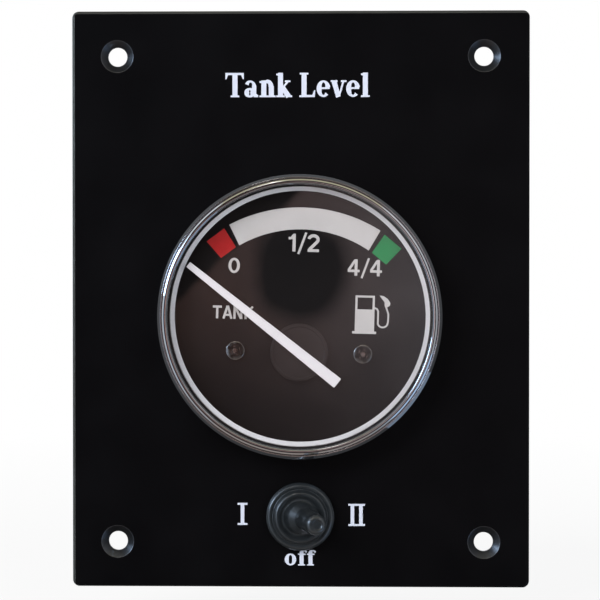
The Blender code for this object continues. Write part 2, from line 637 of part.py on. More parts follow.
def make_dial(gauge):
    """The dial plate and the two cross-recess screws that hold it on the pillars."""
    profile = [(0, DIAL_REAR), (SPACER_RADIUS, DIAL_REAR), (SPACER_RADIUS, DIAL_FRONT), (0, DIAL_FRONT)]
    dial = turned("dial", profile, "dial_black", LARGE_ROUND, parent=gauge)
    start, end = DIAL_FRONT - OVERCUT, DIAL_REAR + OVERCUT
    place = (0, 0, -PIVOT_DROP)
    cut(dial, rod_cutter("dial_hole_pivot", BEARING_HOLE_RADIUS, start, end, parent=gauge, place=place))
    shank = DIAL_SCREW_DIAMETER / 2
    head = DIAL_SCREW_HEAD_DIAMETER / 2
    head_rear = DIAL_FRONT - SEAT_GAP
    head_front = head_rear - DIAL_SCREW_HEAD_HEIGHT
    screw_end = DIAL_REAR + DIAL_SCREW_LENGTH
    screw_profile = filleted(
        [
            (0, screw_end, 0),
            (shank, screw_end, shank * LIGHT_FILLET),
            (shank, head_rear, 0),
            (head, head_rear, 0),
            (head, head_front, DIAL_SCREW_HEAD_HEIGHT * HALF_FILLET),
            (0, head_front, 0),
        ]
    )
    for name, side in (("left", -1), ("right", 1)):
        place = (side * DIAL_SCREW_SPACING / 2, 0, -PIVOT_DROP)
        hole = rod_cutter(f"dial_hole_{name}", shank + RADIAL_PLAY, start, end, parent=gauge, place=place)
        cut(dial, hole)
        screw = turned(
            f"dial_screw_{name}", screw_profile, "black_steel", SMALL_ROUND, parent=gauge, place=place
        )
        for recess, (width, height) in (
            ("upright", (SCREW_RECESS_WIDTH, SCREW_RECESS_LENGTH)),
            ("level", (SCREW_RECESS_LENGTH, SCREW_RECESS_WIDTH)),
        ):
            slot = extruded(
                f"screw_recess_{recess}_{name}",
                filleted(rectangle(width, height)),
                head_front - OVERCUT,
                head_front + SCREW_RECESS_DEPTH,
                "black_steel",
                parent=gauge,
                place=place,
                turn=(0, side * SCREW_STOP_ANGLE, 0),
            )
            cut(screw, slot)


def make_pointer(gauge):
    """The white blade, its disc, the spindle and the magnet, which turn together."""
    axis = empty("pointer_axis", gauge, (0, 0, -PIVOT_DROP), (0, -POINTER_REST, 0))
    tip, tail = POINTER_TIP_WIDTH / 2, POINTER_TAIL_WIDTH / 2
    blade = [(-tail, -POINTER_TAIL), (tail, -POINTER_TAIL), (tip, POINTER_LENGTH), (-tip, POINTER_LENGTH)]
    extruded("pointer", blade, POINTER_FRONT, POINTER_REAR, "pointer_white", parent=axis)
    radius = POINTER_DISC_DIAMETER / 2
    disc = filleted(
        [
            (0, DISC_REAR, 0),
            (radius, DISC_REAR, 0),
            (radius, DISC_FRONT, POINTER_DISC_THICKNESS / 2),
            (0, DISC_FRONT, 0),
        ]
    )
    turned("pointer_disc", disc, "dial_black", MEDIUM_ROUND, parent=axis)
    spindle = SPINDLE_DIAMETER / 2
    spindle_end = BOBBIN_REAR
    rod = [
        (0, DISC_REAR + SEAT_GAP),
        (spindle, DISC_REAR + SEAT_GAP),
        (spindle, spindle_end - spindle),
        (0, spindle_end),
    ]
    turned("spindle", rod, "silver_plate", SMALL_ROUND, parent=axis)
    bore = spindle + RUNNING_PLAY
    magnet_front = BOBBIN_MIDDLE - MAGNET_THICKNESS / 2
    magnet_rear = BOBBIN_MIDDLE + MAGNET_THICKNESS / 2
    rim = MAGNET_DIAMETER / 2
    magnet = [(bore, magnet_front), (rim, magnet_front), (rim, magnet_rear), (bore, magnet_rear)]
    turned("magnet", magnet, "ferrite", MEDIUM_ROUND, parent=axis)


def make_frame(movement):
    """The bent steel frame on the terminal board, with the two pillars that carry the dial."""
    half = DIAL_SCREW_SPACING / 2 + FRAME_OVERHANG
    web = (FRAME_FRONT + FRAME_REAR) / 2
    foot = BOARD_FRONT - SEAT_GAP - FRAME_THICKNESS / 2
    toe = FRAME_TOE
    path = [(-toe, foot), (-half, foot), (-half, web), (half, web), (half, foot), (toe, foot)]
    frame = bent_strip(
        "movement_frame", path, FRAME_THICKNESS, FRAME_BEND, FRAME_WIDTH, "zinc_steel", parent=movement
    )
    start, end = FRAME_FRONT - OVERCUT, FRAME_REAR + OVERCUT
    cut(frame, rod_cutter("frame_hole_bearing", BEARING_HOLE_RADIUS, start, end, parent=movement))
    outer, bore = PILLAR_DIAMETER / 2, DIAL_SCREW_DIAMETER / 2 + RUNNING_PLAY
    spigot = PILLAR_SPIGOT_DIAMETER / 2
    seat = PILLAR_FRONT + PILLAR_LENGTH
    bore_end = DIAL_REAR + DIAL_SCREW_LENGTH + SEAT_GAP
    pillar = [
        (0, FRAME_REAR),
        (spigot, FRAME_REAR),
        (spigot, seat),
        (outer, seat),
        (outer, PILLAR_FRONT),
        (bore, PILLAR_FRONT),
        (bore, bore_end),
        (0, bore_end),
    ]
    for name, side in (("left", -1), ("right", 1)):
        place = (side * DIAL_SCREW_SPACING / 2, 0, 0)
        hole = rod_cutter(
            f"frame_hole_{name}", spigot + RADIAL_PLAY, start, end, parent=movement, place=place
        )
        cut(frame, hole)
        turned(f"dial_pillar_{name}", pillar, "brass", SMALL_ROUND, parent=movement, place=place)


def make_coils(movement):
    """The bobbin in two halves, the two crossed coils in its channels, and the spindle's bearings."""
    middle = (0, BOBBIN_MIDDLE, 0)
    half_size, half_depth = BOBBIN_SIZE / 2, BOBBIN_DEPTH / 2
    placing = {"parent": movement, "place": middle}
    outline = filleted(rectangle(BOBBIN_SIZE, BOBBIN_SIZE, BOBBIN_CORE_ROUND))
    spool = []
    for name, sign in (("front", -1), ("rear", 1)):
        start, end = sorted((sign * SEAT_GAP / 2, sign * half_depth))
        spool.append(extruded(f"bobbin_{name}", outline, start, end, "bobbin_nylon", **placing))
    end = half_depth + OVERCUT
    bore = rod_cutter("bobbin_bore", BEARING_HOLE_RADIUS, -end, end, **placing)
    reach = MAGNET_THICKNESS / 2 + CHAMBER_PLAY
    chamber_radius = MAGNET_DIAMETER / 2 + CHAMBER_PLAY
    chamber = rod_cutter("bobbin_chamber", chamber_radius, -reach, reach, MEDIUM_ROUND, **placing)
    channels = []
    for name, layers, along in (("inner", 2, "Z"), ("outer", 1, "X")):
        across = half_size - layers * COIL_LAYER
        deep = half_depth - layers * COIL_LAYER
        sizes = (across, deep) if along == "Z" else (deep, across)
        channel = ring_about(
            f"channel_{name}",
            sizes,
            BOBBIN_CORE_ROUND,
            2 * COIL_LAYER + OVERCUT,
            COIL_WIDTH + 2 * SEAT_GAP,
            "bobbin_nylon",
            along,
            **placing,
        )
        channels.append(channel)
        coil = ring_about(
            f"coil_{name}",
            tuple(size + SEAT_GAP for size in sizes),
            BOBBIN_CORE_ROUND + SEAT_GAP,
            COIL_THICKNESS,
            COIL_WIDTH,
            "enamelled_copper",
            along,
            **placing,
        )
        cut(coil, bore)
    for half in spool:
        cut(half, chamber, bore, *channels)
    make_bearings(movement)


def ring_about(name, half_sizes, corner, thickness, width, finish, along, **placing):
    """A rectangular ring, wound about an axis, with rounded corners."""
    inner = filleted(rectangle(2 * half_sizes[0], 2 * half_sizes[1], corner))
    outer = filleted(
        rectangle(2 * (half_sizes[0] + thickness), 2 * (half_sizes[1] + thickness), corner + thickness)
    )
    return ringed(name, outer, inner, -width / 2, width / 2, finish, along, **placing)


def make_bearings(movement):
    """The front sleeve in the frame and the blind rear one in the bobbin."""
    outer, bore = BEARING_DIAMETER / 2, SPINDLE_DIAMETER / 2 + RUNNING_PLAY
    flange = BEARING_FLANGE_DIAMETER / 2
    flange_rear = FRAME_FRONT - SEAT_GAP
    nose = BOBBIN_MIDDLE - MAGNET_THICKNESS / 2 - CHAMBER_PLAY
    front = [
        (bore, flange_rear - BEARING_FLANGE_THICKNESS),
        (flange, flange_rear - BEARING_FLANGE_THICKNESS),
        (flange, flange_rear),
        (outer, flange_rear),
        (outer, nose),
        (bore, nose),
    ]
    turned("bearing_front", front, "brass", SMALL_ROUND, parent=movement)
    nose = BOBBIN_MIDDLE + MAGNET_THICKNESS / 2 + CHAMBER_PLAY
    seat = BOBBIN_REAR + SEAT_GAP
    rear = [
        (bore, nose),
        (outer, nose),
        (outer, seat),
        (flange, seat),
        (flange, seat + BEARING_FLANGE_THICKNESS),
        (0, seat + BEARING_FLANGE_THICKNESS),
        (0, seat),
        (bore, seat - bore),
    ]
    turned("bearing_rear", rear, "brass", SMALL_ROUND, parent=movement)


def make_terminals(gauge):
    """The board inside the rear wall, and the three insulated studs with their nuts."""
    board_radius = CASE_INNER_RADIUS - (CASE_REAR_ROUND - CASE_WALL) - RADIAL_PLAY
    disc = [(0, BOARD_REAR), (board_radius, BOARD_REAR), (board_radius, BOARD_FRONT), (0, BOARD_FRONT)]
    board = turned("terminal_board", disc, "phenolic", LARGE_ROUND, parent=gauge)
    shank, head = STUD_DIAMETER / 2, STUD_HEAD_DIAMETER / 2
    head_rear = BOARD_FRONT - SEAT_GAP
    stud_end = CASE_REAR + TERMINAL_STUD_LENGTH
    stud = filleted(
        [
            (0, stud_end, 0),
            (shank, stud_end, shank * LIGHT_FILLET),
            (shank, head_rear, 0),
            (head, head_rear, 0),
            (head, head_rear - STUD_HEAD_HEIGHT, shank * LIGHT_FILLET),
            (0, head_rear - STUD_HEAD_HEIGHT, 0),
        ],
        1,
    )
    seat = CASE_REAR + SEAT_GAP
    top = seat + INSULATOR_HEIGHT
    wide = INSULATOR_DIAMETER / 2
    insulator = [
        (STUD_HOLE_RADIUS, BOARD_REAR + SEAT_GAP),
        (INSULATOR_SHOULDER_RADIUS, BOARD_REAR + SEAT_GAP),
        (INSULATOR_SHOULDER_RADIUS, seat),
        (wide, seat),
        (wide, top),
        (STUD_HOLE_RADIUS, top),
    ]
    nut_start = top + SEAT_GAP
    start, end = BOARD_FRONT - OVERCUT, BOARD_REAR + OVERCUT
    for name, side in TERMINALS:
        place = (side * TERMINAL_SPACING, 0, TERMINAL_RISE)
        placing = {"parent": gauge, "place": place}
        cut(board, rod_cutter(f"board_hole_{name}", STUD_HOLE_RADIUS, start, end, **placing))
        turned(f"terminal_stud_{name}", stud, "brass", SMALL_ROUND, **placing)
        turned(f"terminal_insulator_{name}", insulator, "phenolic", SMALL_ROUND, **placing)
        hex_nut(
            f"terminal_nut_{name}",
            NUT_ACROSS_FLATS,
            STUD_HOLE_RADIUS,
            nut_start,
            nut_start + NUT_HEIGHT,
            "brass",
            **placing,
        )
    lamp_radius = LAMP_HOLDER_DIAMETER / 2 + RADIAL_PLAY
    placing = {"parent": gauge, "place": (0, 0, -LAMP_DROP)}
    cut(board, rod_cutter("board_hole_lamp", lamp_radius, start, end, MEDIUM_ROUND, **placing))


def make_lamp(gauge):
    """The twist-in lamp holder in the rear wall, and its bulb."""
    body, flange = LAMP_HOLDER_DIAMETER / 2, LAMP_FLANGE_DIAMETER / 2
    tail = LAMP_TAIL_DIAMETER / 2
    socket = LAMP_BULB_DIAMETER / 2 + RADIAL_PLAY
    socket_front = BOARD_FRONT - LAMP_SOCKET_LENGTH
    flange_front = CASE_REAR + SEAT_GAP
    flange_rear = flange_front + LAMP_FLANGE_THICKNESS
    tail_end = flange_rear + LAMP_TAIL_LENGTH
    holder = filleted(
        [
            (0, tail_end, 0),
            (tail, tail_end, tail * LIGHT_FILLET),
            (tail, flange_rear, 0),
            (flange, flange_rear, LAMP_FLANGE_THICKNESS * LIGHT_FILLET),
            (flange, flange_front, 0),
            (body, flange_front, 0),
            (body, BOARD_FRONT, 0),
            (tail, BOARD_FRONT - (body - tail), 0),
            (tail, socket_front, 0),
            (socket, socket_front, 0),
            (socket, BOARD_REAR, 0),
            (0, BOARD_REAR, 0),
        ]
    )
    place = (0, 0, -LAMP_DROP)
    turned("lamp_holder", holder, "phenolic", MEDIUM_ROUND, parent=gauge, place=place)
    bulb_radius = LAMP_BULB_DIAMETER / 2
    bulb_rear = BOARD_REAR - SEAT_GAP
    bulb_front = bulb_rear - LAMP_BULB_LENGTH
    bulb = filleted(
        [
            (0, bulb_rear, 0),
            (bulb_radius, bulb_rear, 0),
            (bulb_radius, bulb_front, bulb_radius * FULL_FILLET),
            (0, bulb_front, 0),
        ],
        FINE_FILLET_STEPS,
    )
    turned("lamp_bulb", bulb, "clear_glass", SMALL_ROUND, parent=gauge, place=place)


def make_clamp(gauge):
    """The bent strap that bears on the panel's rear, and the welded studs and knurled nuts that pull it."""
    leg = CASE_RADIUS + CLAMP_SIDE_GAP + CLAMP_THICKNESS / 2
    sole = SEAT_GAP + CLAMP_THICKNESS / 2
    bridge = (CLAMP_FRONT + CLAMP_REAR) / 2
    toe = leg + CLAMP_FOOT
    path = [(-toe, sole), (-leg, sole), (-leg, bridge), (leg, bridge), (leg, sole), (toe, sole)]
    strap = bent_strip(
        "clamp_bracket", path, CLAMP_THICKNESS, CLAMP_BEND, CLAMP_WIDTH, "zinc_steel", parent=gauge
    )
    shank, weld = STUD_DIAMETER / 2, CLAMP_WELD_DIAMETER / 2
    stud_start = CASE_REAR + SEAT_GAP
    stud_end = CASE_REAR + CLAMP_STUD_LENGTH
    stud = filleted(
        [
            (0, stud_end, 0),
            (shank, stud_end, shank * LIGHT_FILLET),
            (shank, stud_start + CLAMP_WELD_HEIGHT, 0),
            (weld, stud_start + CLAMP_WELD_HEIGHT / 2, 0),
            (weld, stud_start, 0),
            (0, stud_start, 0),
        ],
        1,
    )
    washer_start = CLAMP_REAR + SEAT_GAP
    nut_start = WASHER_REAR + SEAT_GAP
    nut_end = nut_start + KNURLED_NUT_HEIGHT
    washer_outer = circle(WASHER_DIAMETER / 2, SMALL_ROUND)
    washer_inner = circle(STUD_HOLE_RADIUS, SMALL_ROUND)
    crest = KNURLED_NUT_DIAMETER / 2
    teeth = [
        (radius * math.cos(turn), radius * math.sin(turn))
        for i in range(2 * KNURL_COUNT)
        for turn, radius in [(math.pi * i / KNURL_COUNT, crest - KNURL_DEPTH * (i % 2))]
    ]
    bore = circle(STUD_HOLE_RADIUS, 2 * KNURL_COUNT)
    start, end = CLAMP_FRONT - OVERCUT, CLAMP_REAR + OVERCUT
    for name, side in (("left", -1), ("right", 1)):
        placing = {"parent": gauge, "place": (side * CLAMP_STUD_SPACING / 2, 0, 0)}
        cut(strap, rod_cutter(f"clamp_hole_{name}", STUD_HOLE_RADIUS, start, end, **placing))
        turned(f"clamp_stud_{name}", stud, "zinc_steel", SMALL_ROUND, **placing)
        ringed(
            f"clamp_washer_{name}",
            washer_outer,
            washer_inner,
            washer_start,
            WASHER_REAR,
            "zinc_steel",
            **placing,
        )
        ringed(f"clamp_nut_{name}", teeth, bore, nut_start, nut_end, "brass", **placing)


def make_switch_mount(switch):
    """The threaded bushing, and the star washer and nuts that hold it in the panel."""
    outer, throat = BUSHING_DIAMETER / 2, BUSHING_BORE_DIAMETER / 2
    ball = LEVER_BALL_DIAMETER / 2
    profile = filleted(
        [
            (outer, BUSHING_FRONT, (outer - BUSHING_MOUTH_DIAMETER / 2) * HALF_FILLET),
            (outer, BUSHING_REAR, 0),
            (BUSHING_REAR_BORE_DIAMETER / 2, BUSHING_REAR, 0),
            (throat, LEVER_PIVOT + ball, 0),
            (throat, LEVER_PIVOT - ball / 2, 0),
            (BUSHING_MOUTH_DIAMETER / 2, BUSHING_FRONT, 0),
        ],
        1,
    )
    bushing = turned("switch_bushing", profile, "silver_plate", MEDIUM_ROUND, parent=switch)
    pin_radius = TOGGLE_PIN_DIAMETER / 2
    cross = {"parent": switch, "place": (0, LEVER_PIVOT, 0), "turn": (math.pi / 2, 0, 0)}
    half = outer + OVERCUT
    cut(bushing, rod_cutter("bushing_pin_hole", pin_radius + RUNNING_PLAY, -half, half, **cross))
    half = TOGGLE_PIN_LENGTH / 2
    pin = [(0, -half), (pin_radius, -half), (pin_radius, half), (0, half)]
    turned("toggle_pin", pin, "zinc_steel", SMALL_ROUND, **cross)
    count = 4 * LOCK_WASHER_TEETH
    rim = circle(LOCK_WASHER_DIAMETER / 2, count)
    teeth = [
        (radius * math.cos(turn), radius * math.sin(turn))
        for i in range(count)
        for turn, radius in [
            (math.tau * i / count, BUSHING_HOLE_RADIUS + (LOCK_WASHER_TOOTH if i % 4 < 2 else 0))
        ]
    ]
    ringed("lock_washer", rim, teeth, SEAT_GAP, LOCK_WASHER_REAR, "zinc_steel", parent=switch)
    nut_start = LOCK_WASHER_REAR + SEAT_GAP
    across, bore = SWITCH_NUT_ACROSS_FLATS, BUSHING_HOLE_RADIUS
    hex_nut("back_nut", across, bore, nut_start, BACK_NUT_REAR, "silver_plate", parent=switch)
    boot_nut_rear = PANEL_FRONT - 2 * SEAT_GAP
    boot_nut_front = boot_nut_rear - BOOT_NUT_HEIGHT
    hex_nut("boot_nut", across, bore, boot_nut_front, boot_nut_rear, "silver_plate", parent=switch)


def make_switch_body(switch):
    """The bent cover, the moulded body, its three solder lugs and the contact rocker."""
    half = SWITCH_BODY_WIDTH / 2
    leg = half + SEAT_GAP + COVER_THICKNESS / 2
    web = COVER_FRONT + COVER_THICKNESS / 2
    leg_end = web + COVER_LEG
    path = [(-leg, leg_end), (-leg, web), (leg, web), (leg, leg_end)]
    cover = bent_strip(
        "switch_cover", path, COVER_THICKNESS, COVER_BEND, SWITCH_BODY_HEIGHT, "silver_plate", parent=switch
    )
    opening = BUSHING_REAR_BORE_DIAMETER / 2 + RADIAL_PLAY
    start, end = COVER_FRONT - OVERCUT, COVER_REAR + OVERCUT
    cut(cover, rod_cutter("cover_hole", opening, start, end, MEDIUM_ROUND, parent=switch))
    outline = filleted(rectangle(SWITCH_BODY_WIDTH, SWITCH_BODY_HEIGHT, SWITCH_BODY_ROUND))
    body = extruded("switch_body", outline, BODY_FRONT, BODY_REAR, "phenolic", parent=switch)
    walls = 2 * SWITCH_BODY_WALL
    well = filleted(rectangle(SWITCH_BODY_WIDTH - walls, SWITCH_BODY_HEIGHT - walls, SWITCH_BODY_ROUND))
    start = BODY_FRONT - OVERCUT
    cut(body, extruded("body_well", well, start, BODY_FLOOR, "phenolic", parent=switch))
    make_rocker(switch)
    lug_end = BODY_REAR + LUG_REACH
    arm_drop = math.sin(ROCKER_TILT) * LUG_SPACING - ROCKER_RISE
    contact = ROCKER_PIVOT + arm_drop + ROCKER_THICKNESS / 2 + SEAT_GAP
    fulcrum = ROCKER_PIVOT + ROCKER_THICKNESS / 2 + SEAT_GAP
    slot_play = LUG_THICKNESS + 2 * SEAT_GAP
    for name, side, front in (("one", -1, contact), ("common", 0, fulcrum), ("two", 1, contact)):
        place = (side * LUG_SPACING, 0, 0)
        slot = extruded(
            f"lug_slot_{name}",
            filleted(rectangle(slot_play, LUG_WIDTH + 2 * SEAT_GAP)),
            BODY_FLOOR - OVERCUT,
            BODY_REAR + OVERCUT,
            "phenolic",
            parent=switch,
            place=place,
        )
        cut(body, slot)
        tip = LUG_WIDTH / 2 * HALF_FILLET
        blade = filleted(
            [
                (front, -LUG_WIDTH / 2, 0),
                (lug_end, -LUG_WIDTH / 2, tip),
                (lug_end, LUG_WIDTH / 2, tip),
                (front, LUG_WIDTH / 2, 0),
            ]
        )
        lug = extruded(
            f"switch_lug_{name}",
            blade,
            -LUG_THICKNESS / 2,
            LUG_THICKNESS / 2,
            "silver_plate",
            along="X",
            parent=switch,
            place=place,
        )
        eye = rod_cutter(
            f"lug_eye_{name}",
            LUG_HOLE_DIAMETER / 2,
            -OVERCUT,
            OVERCUT,
            parent=switch,
            place=(place[0], lug_end - LUG_WIDTH, 0),
            turn=(0, 0, math.pi / 2),
        )
        cut(lug, eye)


def make_rocker(switch):
    """The V of sheet metal that tips on the middle lug, turned to the side that the lever holds down."""
    axis = empty("rocker_axis", switch, (0, ROCKER_PIVOT, 0), (0, 0, -ROCKER_TILT))
    pad = LUG_THICKNESS / 2
    path = [
        (-LUG_SPACING - pad, -ROCKER_RISE),
        (-LUG_SPACING + 2 * pad, -ROCKER_RISE),
        (0, 0),
        (LUG_SPACING - 2 * pad, -ROCKER_RISE),
        (LUG_SPACING + pad, -ROCKER_RISE),
    ]
    bend = ROCKER_THICKNESS
    bent_strip(
        "contact_rocker", path, ROCKER_THICKNESS, bend, ROCKER_WIDTH, "silver_plate", parent=axis
    )


def make_lever(switch):
    """The toggle lever with its ball, and the sprung plunger in its tail, which tip together."""
    axis = empty("lever_axis", switch, (0, LEVER_PIVOT, 0), (0, 0, LEVER_TILT))
    tip, neck = LEVER_TIP_DIAMETER / 2, LEVER_NECK_DIAMETER / 2
    ball, tail = LEVER_BALL_DIAMETER / 2, LEVER_TAIL_DIAMETER / 2
    bore = LEVER_TAIL_BORE_DIAMETER / 2
    neck_turn, tail_turn = math.asin(neck / ball), math.pi - math.asin(tail / ball)
    steps = 2 * FINE_FILLET_STEPS
    turns = [neck_turn + (tail_turn - neck_turn) * i / steps for i in range(steps + 1)]
    bore_end = LEVER_TAIL_LENGTH - LEVER_TAIL_BORE_DEPTH
    nose = [(0, -LEVER_LENGTH, 0), (tip, -LEVER_LENGTH, tip * FULL_FILLET), (tip, tip - LEVER_LENGTH, 0)]
    profile = filleted(nose)
    profile += [(ball * math.sin(turn), -ball * math.cos(turn)) for turn in turns]
    profile += [(tail, LEVER_TAIL_LENGTH), (bore, LEVER_TAIL_LENGTH), (bore, bore_end), (0, bore_end)]
    lever = turned("toggle_lever", profile, "silver_plate", SMALL_ROUND, parent=axis)
    half = ball + OVERCUT
    hole_radius = TOGGLE_PIN_DIAMETER / 2 + RUNNING_PLAY
    hole = rod_cutter("lever_pin_hole", hole_radius, -half, half, parent=axis, turn=(math.pi / 2, 0, 0))
    cut(lever, hole)
    head, stem = PLUNGER_HEAD_DIAMETER / 2, bore - RUNNING_PLAY
    head_start = LEVER_TAIL_LENGTH + SEAT_GAP
    stem_start = LEVER_TAIL_LENGTH - PLUNGER_STEM_LENGTH
    plunger = filleted(
        [
            (0, PLUNGER_REACH, 0),
            (head, PLUNGER_REACH, head * FULL_FILLET),
            (head, head_start, 0),
            (stem, head_start, 0),
            (stem, stem_start, 0),
            (0, stem_start, 0),
        ],
        FINE_FILLET_STEPS,
    )
    turned("toggle_plunger", plunger, "bobbin_nylon", SMALL_ROUND, parent=axis)
    wire = SPRING_WIRE_DIAMETER / 2
    make_spring(axis, bore - RUNNING_PLAY - wire, bore_end + wire + SEAT_GAP, stem_start - wire - SEAT_GAP)


def make_spring(axis, radius, start, end):
    """The compression spring in the lever's tail: a bevelled curve along a helix."""
    count = SPRING_POINTS_PER_TURN * SPRING_TURNS
    curve = bpy.data.curves.new("toggle_spring", "CURVE")
    curve.dimensions = "3D"
    curve.bevel_depth = SPRING_WIRE_DIAMETER / 2
    curve.bevel_resolution = 0
    curve.use_fill_caps = True
    curve.materials.append(finish_material("zinc_steel"))
    spline = curve.splines.new("POLY")
    spline.points.add(count)
    for i, point in enumerate(spline.points):
        turn = math.tau * SPRING_TURNS * i / count
        depth = start + (end - start) * i / count
        point.co = (radius * math.cos(turn), depth, radius * math.sin(turn), 1)
    spring = bpy.data.objects.new("toggle_spring", curve)
    spring.parent = axis
    bpy.context.scene.collection.objects.link(spring)


def boot_profile():
    """The boot's half section, standing straight: (radius, height over the panel's front) pairs."""
    outer, groove = BOOT_DIAMETER / 2, BOOT_GROOVE_DIAMETER / 2
    ring, valley = BOOT_RING_DIAMETER / 2, BOOT_VALLEY_DIAMETER / 2
    sleeve, tip = BOOT_SLEEVE_DIAMETER / 2, BOOT_TIP_DIAMETER / 2
    flange = BOOT_FLANGE_HEIGHT
    pocket = SWITCH_NUT_ACROSS_FLATS / 2 / math.cos(math.pi / 6) + RADIAL_PLAY
    roof = max(BUSHING_RISE, BOOT_NUT_HEIGHT + 2 * SEAT_GAP) + RADIAL_PLAY
    lever_end = LEVER_LENGTH - LEVER_PIVOT_DEPTH
    lever_tip = LEVER_TIP_DIAMETER / 2 + SEAT_GAP
    lever_neck = LEVER_NECK_DIAMETER / 2 + SEAT_GAP
    mouth = BUSHING_MOUTH_DIAMETER / 2
    top = lever_end + SEAT_GAP + BOOT_TIP_WALL
    rise = top - roof
    taper = sleeve - tip
    waist, shoulder = [(sleeve - taper * share, roof + rise * height) for height, share in
                       (BOOT_WAIST, BOOT_SHOULDER)]
    outside = filleted(
        [
            (outer, SEAT_GAP, 0),
            (outer, flange, flange * LIGHT_FILLET),
            (groove, flange, 0),
            ((groove + ring) / 2, flange - (groove - ring) * BOOT_GROOVE_SLOPE, 0),
            (ring, BOOT_RING_HEIGHT, (groove - ring) * HALF_FILLET),
            (valley, BOOT_RING_HEIGHT, 0),
            ((valley + sleeve) / 2, roof + BOOT_ROOF_WALL, 0),
            (sleeve, BOOT_RING_HEIGHT, 0),
            (*waist, 0),
            (*shoulder, 0),
            (tip, top, tip * HALF_FILLET),
            (0, top, 0),
        ]
    )
    inside = [
        (0, lever_end + SEAT_GAP),
        (lever_tip * FULL_FILLET, lever_end + SEAT_GAP),
        (lever_tip, lever_end - lever_tip * LIGHT_FILLET),
        (lever_tip, roof + rise * (BOOT_SHOULDER[0] + BOOT_WAIST[0]) / 2),
        (lever_neck + SEAT_GAP, waist[1]),
        (mouth, roof + rise * BOOT_WAIST[0] / 2),
        (mouth + SEAT_GAP, roof),
        (pocket, roof),
        (pocket, SEAT_GAP),
    ]
    return outside + inside


def make_boot(switch):
    """The rubber boot: its rings stay on the panel, and its sleeve bends over with the lever."""
    profile = [(radius, PANEL_FRONT - height) for radius, height in boot_profile()]
    boot = turned("switch_boot", profile, "black_rubber", MEDIUM_ROUND, parent=switch)
    roof = PANEL_FRONT - BUSHING_RISE - RADIAL_PLAY
    reach = (LEVER_LENGTH - LEVER_PIVOT_DEPTH - BUSHING_RISE) * BOOT_WAIST[0]
    pivot = Vector((0, LEVER_PIVOT, 0))
    for vertex in boot.data.vertices:
        share = min(max((roof - vertex.co.y) / reach, 0), 1)
        turn = Matrix.Rotation(LEVER_TILT * share * share * (3 - 2 * share), 3, "Z")
        vertex.co = pivot + turn @ (vertex.co - pivot)


def main():
    clear_scene()
    gauge = empty("gauge_axis", place=(0, 0, -GAUGE_DROP), turn=(0, GAUGE_TURN, 0))
    movement = empty("movement_axis", gauge, (0, 0, -PIVOT_DROP))
    switch = empty("switch_axis", place=(0, 0, -SWITCH_DROP))
    make_panel()
    make_case(gauge)
    make_bezel(gauge)
    make_dial(gauge)
    make_pointer(gauge)
    make_frame(movement)
    make_coils(movement)
    make_terminals(gauge)
    make_lamp(gauge)
    make_clamp(gauge)
    make_switch_mount(switch)
    make_switch_body(switch)
    make_lever(switch)
    make_boot(switch)


main()
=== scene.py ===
"""The looks of a dual tank level indicator.

A black panel carries a chrome-ringed level gauge and a booted toggle switch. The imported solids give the
places and the main sizes, and the classes below add the fine shapes, the print and the finishes. Each
sub-assembly is a class whose build method makes its pieces and dresses them.
"""

import json
import logging
import math
from collections.abc import Callable, Sequence
from dataclasses import dataclass, field, replace
from enum import Enum

import bmesh
import bpy
from mathutils import Matrix, Vector


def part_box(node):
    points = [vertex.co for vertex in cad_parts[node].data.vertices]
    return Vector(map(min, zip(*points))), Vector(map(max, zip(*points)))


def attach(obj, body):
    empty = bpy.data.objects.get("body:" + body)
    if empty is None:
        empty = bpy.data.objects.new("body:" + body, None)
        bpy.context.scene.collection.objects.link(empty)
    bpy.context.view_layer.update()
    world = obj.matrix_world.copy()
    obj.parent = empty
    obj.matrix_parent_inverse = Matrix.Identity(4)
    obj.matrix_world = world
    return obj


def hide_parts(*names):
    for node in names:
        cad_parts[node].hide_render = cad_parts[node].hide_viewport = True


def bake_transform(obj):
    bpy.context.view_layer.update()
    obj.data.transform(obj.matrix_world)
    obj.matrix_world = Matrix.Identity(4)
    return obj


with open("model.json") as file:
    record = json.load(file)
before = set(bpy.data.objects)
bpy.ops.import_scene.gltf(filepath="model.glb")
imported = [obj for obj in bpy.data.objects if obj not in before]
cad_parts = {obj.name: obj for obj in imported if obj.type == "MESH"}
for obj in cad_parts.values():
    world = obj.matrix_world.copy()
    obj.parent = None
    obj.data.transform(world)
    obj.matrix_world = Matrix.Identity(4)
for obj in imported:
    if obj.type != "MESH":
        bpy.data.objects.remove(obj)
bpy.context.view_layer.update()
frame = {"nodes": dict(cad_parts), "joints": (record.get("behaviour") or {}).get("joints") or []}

MM = 0.001
WELD = 1e-7
LARGE_ROUND = 160
MEDIUM_ROUND = 72
SMALL_ROUND = 40
FILLET_STEPS = 6
SHARP_ANGLE = math.radians(34)
PRINT_RISE = 0.03 * MM
PRINT_SINK = 0.02 * MM
BEZEL_OVERHANG = 3.7 * MM
SPACER_WALL = 0.7 * MM

TERMINALS = ("supply", "sender", "ground")

Piece = bpy.types.Object
Socket = bpy.types.NodeSocket
Pair = tuple[float, float]
Outline = list[Pair]
Colour = tuple[float, float, float]
log = logging.getLogger("level_indicator")


